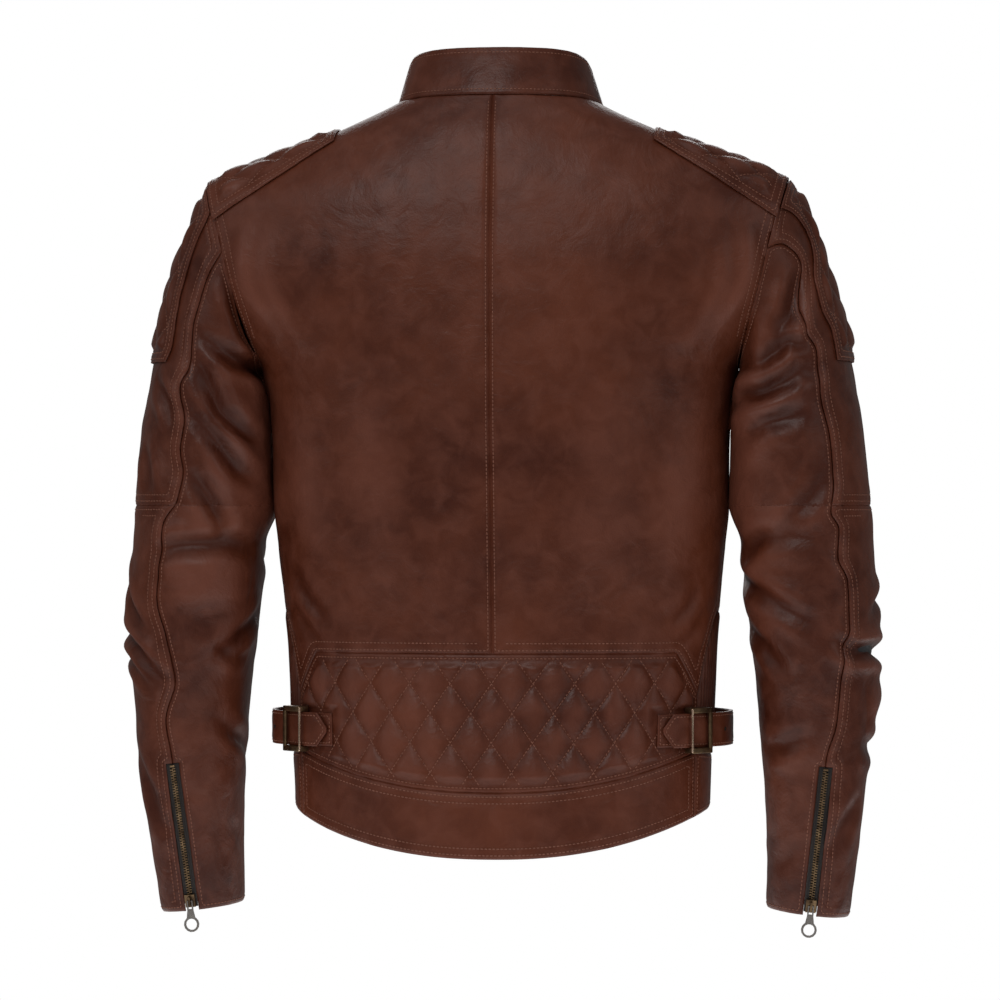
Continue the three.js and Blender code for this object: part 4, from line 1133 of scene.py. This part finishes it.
quilt = Panel(torso, (QUILT_FROM, 180 - QUILT_FROM), lambda u: (band_seam(u), quilt_top(u)),
              (250, 74))
o = dress("low_back_quilt", quilt, padded_hide, low_pillows, "body", lines=low_counts, border=5.0)
on_body(o, "lower_back_quilt", "quilted_leather")
band = Panel(torso, (QUILT_FROM, 180 - QUILT_FROM), lambda u: (hem(u), band_seam(u)), (190, 28))
o = dress("back_band", band, hide, body_relief, "body", rows=(3.4, 9.0))
on_body(o, "back_hem_band")

# %% [markdown]
# The shoulder patch is a separate padded piece, sewn on over the shoulder with a plain border.
# It is cut from the same form by two straight lines and by the armhole, then raised a little.

# %% Shoulder patches
PATCH_INNER, PATCH_KNEE, PATCH_TAIL = 136.0, np.array([147.0, -47.0]), np.array([236.0, -104.0])
patch_line = PATCH_TAIL - PATCH_KNEE
PATCH_MID_Y = -60.0
RIDGE_SLOPE = SHOULDER[1] / (SHOULDER[0] - 90)


def shoulder_counts(p, a, b):
    ridge = (np.abs(p[:, 0]) - 90) * RIDGE_SLOPE
    deep = p[:, 1] - PATCH_MID_Y
    down = deep + np.sign(deep) * np.clip(ridge - p[:, 2], 0, None)
    along = np.hypot(np.abs(p[:, 0]) - 90, ridge)
    return diamonds(along, down, 42.0, 46.0)


for label, side in SIDES.items():
    patch = Panel(torso, (-88, 88), lambda u: (-140, NECK_SEAM), (150, 90), side)
    patch.cut((side * PATCH_INNER, 0, 0), (-side, 0, 0))
    patch.cut((side * PATCH_KNEE[0], 0, PATCH_KNEE[1]), (side * patch_line[1], 0, -patch_line[0]))
    off_body(patch, side)
    o = dress("shoulder_patch_" + label, patch, padded_hide,
              lambda p, a, b, d: (body_relief(p) + rim(d, 10.5)
                                  + pillows(shoulder_counts(p, a, b), 4.0, d, 10.0)),
              "body", wall=1.6, lift=2.4, roll=1.1, rows=(3.0, 8.5), lines=shoulder_counts,
              border=9.5)
    on_body(o, "shoulder_quilt_" + label, "quilted_leather")

# %% [markdown]
# ## The sleeves
# Each sleeve has an outer and an under half, sewn together down the back and down the front of
# the arm, with a seam across the outer half at the elbow. The quilted cap covers the sleeve's
# head. A sleeve crosses two joints, and its panels are split at the elbow seam into upper ones
# and lower ones, which are not made to bend.

# %% Sleeve panels and the cuff zips
ELBOW_SEAM = -350.0
CAP_LOW = -227.0
cuff = zip_frame(sleeve(BACK_SEAM, 0.995), sleeve(BACK_SEAM, 0.81),
                 facing(sleeve, BACK_SEAM, 0.9, (0.5, -0.002)), -1.0)
sleeve_pieces = {}


def armhole_cut(panel, side, gap=0.0):
    at = SHOULDER + OUT[[0, 2]] * gap
    return panel.cut((side * at[0], 0, at[1]), (-side * OUT[0], 0, -OUT[2]))


def cap_counts(p, a, b):
    return diamonds(a * 1.36, b * 639, 42.0, 50.0)


def at_elbow(q):
    return abs(q[2] - ELBOW_SEAM) < 1.0


for label, side in SIDES.items():
    zips["cuff_" + label] = mirrored(cuff, side)
    relief = sleeve_relief(side)
    upper, fore = [], []
    for half, (start, end), columns, material in (("outer", (FRONT_SEAM, BACK_SEAM), 100, hide),
                                                  ("under", (BACK_SEAM, 270.0), 100, soft_hide)):
        top = Panel(sleeves[side], (start, end), lambda a: (0.56, -0.012), (columns, 170),
                    side, SLEEVE_STEP)
        armhole_cut(top, side)
        top.cut((0, 0, ELBOW_SEAM), (0, 0, -1))
        sewn = relief if half == "under" else (
            lambda p, a, b, d, soft=relief: soft(p, a) + welt(a))
        back_rows = None if half == "under" else (
            lambda p, a, b: (a > 50) | (np.abs(p[:, 2] - ELBOW_SEAM - 9) < 4))
        o = dress(f"upper_{half}_{label}", top, material, sewn, "upper_" + label, twin=back_rows,
                  hidden=at_elbow if half == "under" else (lambda q: False))
        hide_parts(f"sleeve_{half}_{label}")
        upper.append((o, "leather"))

        low = Panel(sleeves[side], (start, end), lambda a: (1.0, 0.34), (columns, 190),
                    side, SLEEVE_STEP)
        low.cut((0, 0, ELBOW_SEAM), (0, 0, 1))
        slot_cut(low, zips["cuff_" + label])
        o = dress(f"fore_{half}_{label}", low, material, sewn, "fore_" + label, twin=back_rows,
                  hidden=at_elbow if half == "under" else (lambda q: False))
        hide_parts(f"forearm_{half}_{label}")
        if half == "under":
            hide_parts("elbow_crease_" + label)
        fore.append((o, "leather"))

    cap = Panel(sleeves[side], (-66, 58), lambda a: (0.36, -0.012), (92, 130), side, SLEEVE_STEP)
    armhole_cut(cap, side, gap=0.8)
    cap.cut((0, 0, CAP_LOW), (0, 0, -1))
    o = dress("cap_quilt_" + label, cap, padded_hide,
              lambda p, a, b, d: (relief(p, a) + rim(d, 10.0)
                                  + pillows(cap_counts(p, a, b), 4.0, d, 9.5)),
              "upper_" + label, wall=1.6, lift=2.4, roll=1.1, rows=(3.0, 8.0), lines=cap_counts,
              border=9.0)
    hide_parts("sleeve_cap_quilt_" + label)
    upper.append((o, "quilted_leather"))

    facing_net = Panel(sleeves[side], (BACK_SEAM + 8, 360 + BACK_SEAM - 8),
                       lambda a: (0.985, 0.8), (90, 30), side, SLEEVE_STEP)
    o = dress("cuff_lining_" + label, facing_net, lining_cloth, relief, "fore_" + label, wall=0.8,
              lift=-3.4, roll=0.0, rows=())
    fore.append((o, "lining_cloth"))
    sleeve_pieces[label] = (upper, fore)

# %% [markdown]
# ## Collar and lining
# The stand collar is a short band of doubled leather, leaning in a little towards the neck. Its
# hanging loop is inside the back. A cloth lining hangs inside the whole body, and between it
# and the back lies a foam back protector.

# %% Collar, hanging loop, lining and pads
COLLAR_BACK, COLLAR_FRONT, COLLAR_IN = 40.0, 38.0, 78 / 90
NECK_MIDDLE = (NECK_BACK + NECK_FRONT) / 2


def collar(u, v):
    base = torso(u, 0.0)
    u, v = np.asarray(u, float), np.asarray(v, float)
    rise = between(COLLAR_BACK, COLLAR_FRONT, (1 - np.sin(np.radians(u))) / 2)
    lean = between(1.0, COLLAR_IN, v)
    x, y = base[..., 0] * lean, NECK_MIDDLE + (base[..., 1] - NECK_MIDDLE) * lean
    return np.stack(np.broadcast_arrays(x, y, base[..., 2] + rise * v), -1)


def loop_line(u, v):
    bow = np.clip(np.cos(np.radians((np.asarray(u, float) - 90) * 90 / 18)), 0, 1) ** 0.8
    p = collar(u, v)
    p[..., 1] -= 7.6 * bow
    return p


band = Panel(collar, (-85.5, 265.5), lambda u: (-0.03, 1.0), (280, 20), step=(0.2, 0.02))
o = dress("stand_collar", band, hide, lambda p, a, b, d: 0.5 * soft_noise(p, 30, seed=8.0), "body",
          wall=3.6, roll=0.8, lift=0.7, rows=(4.6,))
on_body(o, "collar")
strip = Panel(loop_line, (72, 108), lambda u: (-0.2, 0.01), (40, 4), step=(0.2, 0.02))
o = dress("hanging_loop", strip, hide, lambda p, a, b, d: 0 * d, "body", wall=1.8, lift=-5.05,
          roll=0.3, rows=(), pucker=0)
on_body(o, "hanger_loop")

inner = Panel(torso, (-82, 262), lambda u: (hem(u) + 14, -14), (170, 120))
for side in SIDES.values():
    inner.cut((side * (SHOULDER[0] - 3), 0, SHOULDER[1]), (side * OUT[0], 0, OUT[2]),
              only=lambda c, s=side: c.z > -245 and c.x * s > 0)
o = dress("body_lining", inner, lining_cloth, lambda p, a, b, d: 0.6 * soft_noise(p, 40, seed=4.0),
          "body", wall=0.8, lift=-8.6, roll=0.0, rows=(), pucker=0)
on_body(o, "torso_lining", "lining_cloth")

pads = []
guard = Panel(torso, (50, 130), lambda u: (-430, -113), (50, 90))
for way in (LEFT, RIGHT):
    guard.cut((way * 97, 0, 0), (way, 0, 0))
o = dress("back_guard", guard, foam,
          lambda p, a, b, d: pillows(diamonds(p[:, 0], p[:, 2], 38, 38), 1.2, d, 4.0),
          "body", wall=7.0, lift=-11.5, roll=2.0, rows=(), pucker=0)
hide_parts("back_protector")
pads.append((o, "torso"))
for label, side in SIDES.items():
    for kind, spread, (low_t, high_t), body, node_name in (
            ("shoulder", (-55, 42), (0.2, 0.04), "upper_arm_", "shoulder_armour_"),
            ("elbow", (5, 60), (0.74, 0.545), "forearm_", "elbow_armour_")):
        net = Panel(sleeves[side], spread, lambda a: (low_t, high_t), (34, 40), side, SLEEVE_STEP)
        if kind == "elbow":
            net.cut((0, 0, -420), (0, 0, 1))
        o = dress(f"{kind}_pad_{label}", net, foam,
                  lambda p, a, b, d: pillows(diamonds(p[:, 0], p[:, 2], 22, 22), 0.8, d, 3.0),
                  "body", wall=5.5, lift=-5.4, roll=2.0, rows=(), pucker=0)
        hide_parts(node_name + label)
        pads.append((o, body + label))
for pad, body in pads:
    carried(pad, body)

# %% [markdown]
# ## Straps and buckles
# At each side of the waist a strap bows out from the ribbed panel, passes through a buckle that
# is sewn to the quilt by a folded chape, and ends in a point. The buckle is a frame bent from
# thick antiqued brass, with one bright bar on the side where the strap rubs it clean.

# %% Waist straps, chapes and buckle frames
STRAP_Z, STRAP_HALF, STRAP_WALL = -542.0, 14.5, 2.5
BUCKLE_AT, STRAP_TIP = 27.0, 42.0
FRAME_WIDE, FRAME_HIGH, ROCK_AIR, BAR = 24.0, 39.0, 1.7, 2.4
strap_stand = smooth_curve([
    (-30, 1.6), (-24, 2.6), (-10, 11), (2, 17), (12, 16), (22, 11), (27, 9.6), (34, 7.8), (44, 4.4),
])


def strap(u, z):
    u, z = np.asarray(u, float), np.asarray(z, float)
    p, out = torso(u, STRAP_Z), facing(torso, u, STRAP_Z)
    out = unit(out * np.array([1, 1, 0]))
    p = p + out * strap_stand(u)[..., None]
    return np.stack(np.broadcast_arrays(p[..., 0], p[..., 1], z), -1)


strap_at = strap(BUCKLE_AT, STRAP_Z)
to_tip = unit(strap(BUCKLE_AT + 2, STRAP_Z) - strap(BUCKLE_AT - 2, STRAP_Z))
out_of_buckle = np.cross(to_tip, [0, 0, 1])
buckle_frame = Matrix((
    (to_tip[0], 0, out_of_buckle[0], strap_at[0]),
    (to_tip[1], 0, out_of_buckle[1], strap_at[1]),
    (0, 1, 0, STRAP_Z), (0, 0, 0, 1)))
bar_z = -(STRAP_WALL / 2 + 0.35 + 1.4 + 0.35 + BAR / 2)
rail_z = STRAP_WALL / 2 + ROCK_AIR
flip_x = Matrix.Diagonal((-1, 1, 1, 1))


def box(bm, low, high, round_by=0.6, segments=3):
    """Adds a block with rounded edges to a bmesh."""
    made = bmesh.ops.create_cube(bm, size=1)["verts"]
    size = [h - l for l, h in zip(low, high)]
    bmesh.ops.scale(bm, verts=made, vec=size)
    bmesh.ops.translate(bm, verts=made, vec=[(l + h) / 2 for l, h in zip(low, high)])
    if round_by:
        edges = {e for v in made for e in v.link_edges}
        bmesh.ops.bevel(bm, geom=list(edges), offset=round_by, segments=segments, profile=0.5,
                        affect="EDGES", material=-1)


def placed(bm, name, material, matrix, side=LEFT):
    """A bmesh in millimetres as an object, put where a frame says, on the left or the right."""
    bmesh.ops.transform(bm, verts=bm.verts, matrix=Matrix.Scale(MM, 4) @ (
        flip_x @ matrix if side == RIGHT else matrix))
    if side == RIGHT:
        bmesh.ops.reverse_faces(bm, faces=bm.faces)
    return finish_mesh(bm, name, material)


def rod(bm, radius, matrix, length):
    bmesh.ops.create_cone(bm, cap_ends=True, segments=20, radius1=radius, radius2=radius,
                          depth=length, matrix=matrix)


for label, side in SIDES.items():
    band = Panel(strap, (-29, STRAP_TIP), lambda u: (STRAP_Z - STRAP_HALF, STRAP_Z + STRAP_HALF),
                 (110, 16), side)
    tip = strap(STRAP_TIP, STRAP_Z)
    for up in (1, -1):
        way = Vector((to_tip[0] * side, to_tip[1], up * 0.75)).normalized()
        band.cut((tip[0] * side, tip[1], STRAP_Z + up * 2), way)
    o = dress("waist_strap_piece_" + label, band, hide, lambda p, a, b, d: 0.15 * soft_noise(p, 12),
              "body", wall=STRAP_WALL, lift=STRAP_WALL / 2, roll=0.5, rows=(2.6,))
    on_body(o, "waist_strap_" + label)
    plate = Panel(torso, (BUCKLE_AT + 1.5, 43.5), lambda u: (STRAP_Z - 14, STRAP_Z + 14),
                  (26, 16), side)
    o = dress("chape_" + label, plate, hide, lambda p, a, b, d: 0.15 * soft_noise(p, 12), "body",
              wall=1.4, lift=2.3, roll=0.4, rows=(2.6,), pucker=0.1)
    on_body(o, "strap_chape_" + label)

    ring = bmesh.new()
    rod(ring, BAR / 2 + 1.6,
        Matrix.Translation((0, 0, bar_z)) @ Matrix.Rotation(math.pi / 2, 4, "X"), 27)
    box(ring, (1, -13.5, bar_z - 3.2), (8, 13.5, bar_z - 1.6), 0.5)
    o = placed(ring, "chape_fold_" + label, hide, buckle_frame, side)
    carried(o, "torso")

    frame_mesh = bmesh.new()
    half_w, half_h, rail = FRAME_WIDE / 2, FRAME_HIGH / 2, 4.8
    box(frame_mesh, (-half_w, -half_h, rail_z), (-half_w + 4.2, half_h, rail_z + 2.6), 1.0)
    for up in (1, -1):
        low, high = sorted((up * half_h, up * (half_h - rail)))
        box(frame_mesh, (-half_w, low, bar_z - BAR / 2), (half_w - 0.6, high, rail_z + 2.6), 1.0)
    rod(frame_mesh, BAR / 2,
        Matrix.Translation((0, 0, bar_z)) @ Matrix.Rotation(math.pi / 2, 4, "X"), FRAME_HIGH - 2)
    o = placed(frame_mesh, "buckle_" + label + "_frame", brass, buckle_frame, side)
    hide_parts("buckle_frame_" + label)
    carried(o, "buckle_" + label)
    bright = bmesh.new()
    box(bright, (half_w - 2.3, -half_h + 0.6, rail_z + 0.1),
        (half_w, half_h - 0.6, rail_z + 2.4), 0.9)
    o = placed(bright, "buckle_" + label + "_bar", bright_brass, buckle_frame, side)
    carried(o, "buckle_" + label)

    # A near-black disc on the strap's face stands in for a punched hole: its dark colour is painted
    # shade, and no hole is cut.
    punched = bmesh.new()
    hole_u = 13.0
    at, way = strap(hole_u, STRAP_Z), facing(torso, hole_u, STRAP_Z)
    way = Vector((way[0], way[1], 0)).normalized()
    turn = way.to_track_quat("Z", "Y").to_matrix().to_4x4()
    rod(punched, 1.7, Matrix.Translation(Vector(at) + way * STRAP_WALL / 2) @ turn, 0.7)
    o = placed(punched, "strap_hole_" + label, painted_hole_shade, Matrix.Identity(4), side)
    carried(o, "torso")

# %% [markdown]
# ## Zips
# A zip is two strips of dark tape with a row of brass teeth on each, meshed along the middle.
# One tooth is shaped and repeated along both sides, the second side half a step behind the
# first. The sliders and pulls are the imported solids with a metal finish.

# %% Tapes and teeth
TOOTH_PITCH = 2.3


def zip_parts(name, frame, body, group):
    at, across, along, out = (frame[k] for k in ("at", "across", "along", "out"))
    matrix = Matrix([[*row, p] for row, p in zip(np.stack([across, along, out], 1), at)]
                    + [[0, 0, 0, 1]])
    if matrix.to_3x3().determinant() < 0:
        matrix = matrix @ flip_x
    tape = bmesh.new()
    for way in (1, -1):
        low, high = sorted((way * 0.2, way * 5.6))
        box(tape, (low, 0, -1.2), (high, frame["length"], -0.2), 0.3, 1)
        cord_low, cord_high = sorted((way * 1.9, way * 3.0))
        box(tape, (cord_low, 0, -0.4), (cord_high, frame["length"] - 1, 0.7), 0.4, 2)
    o = placed(tape, name + "_tape", zip_cloth, matrix)
    carried(o, body)
    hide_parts(group)
    tooth = bmesh.new()
    box(tooth, (-0.62, -1.5, 0.1), (0.62, 1.5, 1.9), 0.25, 1)
    spots = []
    for way in (1, -1):
        shift = 0 if way > 0 else TOOTH_PITCH / 2
        for s in np.arange(1.6 + shift, frame["length"] - 3, TOOTH_PITCH):
            spots.append((at + along * s + across * way * 0.95, along, across, out))
    o = copies(name + "_teeth", tooth, spots, brass)
    carried(o, body)
    stop = bmesh.new()
    box(stop, (-2.2, frame["length"] - 2.6, 0), (2.2, frame["length"] - 0.6, 1.9), 0.4, 2)
    o = placed(stop, name + "_stop", brass, matrix)
    carried(o, body)


zip_parts("front_zip", zips["front"], "torso", "front_zip_tape")
for label in SIDES:
    zip_parts("pocket_zip_" + label, zips["pocket_" + label], "torso", "pocket_zip_tape_" + label)
    zip_parts("cuff_zip_" + label, zips["cuff_" + label], "forearm_" + label,
              "cuff_zip_tape_" + label)

# %% [markdown]
# ## The throat tab
# A small leather tab is sewn to the left of the collar and snaps over its open front.

# %% Tab, snap cap and stud
throat = collar(270.0, 0.5)
throat_up = unit(collar(270.0, 1.0) - collar(270.0, 0.0))
throat_out = np.cross([1, 0, 0], throat_up)
throat_frame = Matrix([[a, b, c, d] for a, b, c, d in zip((1, 0, 0), throat_up, throat_out, throat)]
                      + [[0, 0, 0, 1]])
TAB_HALF_HIGH, TAB_LOW, TAB_WALL, STUD_X = 12.0, 1.8, 2.0, -15.0
tab = bmesh.new()
outline = [(23, -TAB_HALF_HIGH), (23, TAB_HALF_HIGH)]
outline += [(STUD_X - TAB_HALF_HIGH * math.sin(t), TAB_HALF_HIGH * math.cos(t))
            for t in np.linspace(0, math.pi, 25)]
face = tab.faces.new([tab.verts.new((x, y, TAB_LOW)) for x, y in outline])
made = bmesh.ops.extrude_face_region(tab, geom=[face])
bmesh.ops.translate(tab, verts=[g for g in made["geom"] if isinstance(g, bmesh.types.BMVert)],
                    vec=(0, 0, TAB_WALL))
rims = [e for e in tab.edges if abs(e.verts[0].co.z - e.verts[1].co.z) < 1e-4]
bmesh.ops.bevel(tab, geom=rims, offset=0.5, segments=2, profile=0.5, affect="EDGES", material=-1)
bmesh.ops.recalc_face_normals(tab, faces=tab.faces)
o = placed(tab, "throat_tab", hide, throat_frame)
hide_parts("collar_tab")
carried(o, "collar_tab")
inset = [(x if x < 20 else x - 3, y) for x, y in outline]
inset = np.array([
    (STUD_X + (x - STUD_X) * (0.78 if x < STUD_X else 1), y * 0.78, TAB_LOW + TAB_WALL)
    for x, y in inset + inset[:1]])
spin = np.array(throat_frame.to_3x3())
world_line = inset @ spin.T + throat
sew("tab", world_line, np.repeat(throat_out[None], len(world_line), 0))

cap_mesh = bmesh.new()
CAP_LOW_Z = TAB_LOW + TAB_WALL + 0.35
profile = [(0, 2.0), (3.5, 1.9), (5.6, 1.55), (6.2, 1.15), (6.5, 1.45), (7.2, 1.3), (7.5, 0.6),
           (7.3, 0)]
ring_verts = [cap_mesh.verts.new((r, 0, CAP_LOW_Z + z)) for r, z in profile]
ring_edges = [cap_mesh.edges.new(pair) for pair in zip(ring_verts, ring_verts[1:])]
bmesh.ops.spin(cap_mesh, geom=ring_verts + ring_edges, axis=(0, 0, 1), cent=(0, 0, 0), steps=36,
               angle=2 * math.pi, use_merge=True)
bmesh.ops.translate(cap_mesh, verts=cap_mesh.verts, vec=(STUD_X, 0, 0))
bmesh.ops.recalc_face_normals(cap_mesh, faces=cap_mesh.faces)
o = placed(cap_mesh, "snap_dome", brass, throat_frame)
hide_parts("snap_cap")
carried(o, "collar_tab")

# %% [markdown]
# ## Sewing it together
# Every piece of the body rides on the torso. The sleeve's pieces and their thread keep their
# places baked into their meshes, and hang on no joint. The sheets' cut sizes are worked out, not
# kept.

# %% Thread, then what each piece moves with
for group, spots in thread_rows.items():
    if not spots:
        continue
    o = copies("thread_" + group, bead_of_thread(), spots, thread)
    print(o.name, len(spots), "stitches")
    kind, _, label = group.replace("_quilting", "").partition("_")
    if kind == "upper":
        sleeve_pieces[label][0].append((o, None))
    elif kind == "fore":
        sleeve_pieces[label][1].append((o, None))
    else:
        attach(o, "collar_tab" if kind == "tab" else "torso")

for o, slot in body_pieces:
    carried(o, "torso")
    sheet_of(o)

for label, side in SIDES.items():
    flip = np.array([side, 1, 1])
    start, end = (tuple((ring_middle + OUT * k) * flip * MM) for k in (3.0, 51.0))
    for group, (body_a, body_b), ends in (
            (sleeve_pieces[label][0], ("torso", "upper_arm_" + label), (start, end)),
            (sleeve_pieces[label][1], ("upper_arm_" + label, "forearm_" + label),
             ((0, 0, -0.358), (0, 0, -0.432)))):
        for o, slot in group:
            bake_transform(o)
            if slot:
                sheet_of(o)

# %% [markdown]
# The sliders, pulls and the stud keep their imported shapes, and take brass and nickel.

# %% Finishes of the imported solids, and the imported model's box
for name, o in [(n, bpy.data.objects.get(n)) for n in frame["nodes"]]:
    if o is None or o.hide_render:
        continue
    finish = nickel if "pull" in name else brass
    for i in range(len(o.material_slots)):
        o.material_slots[i].material = finish
    if not o.material_slots:
        print("no slot on", name)
    print("packed:", name, finish.name)

low, high = cad_box
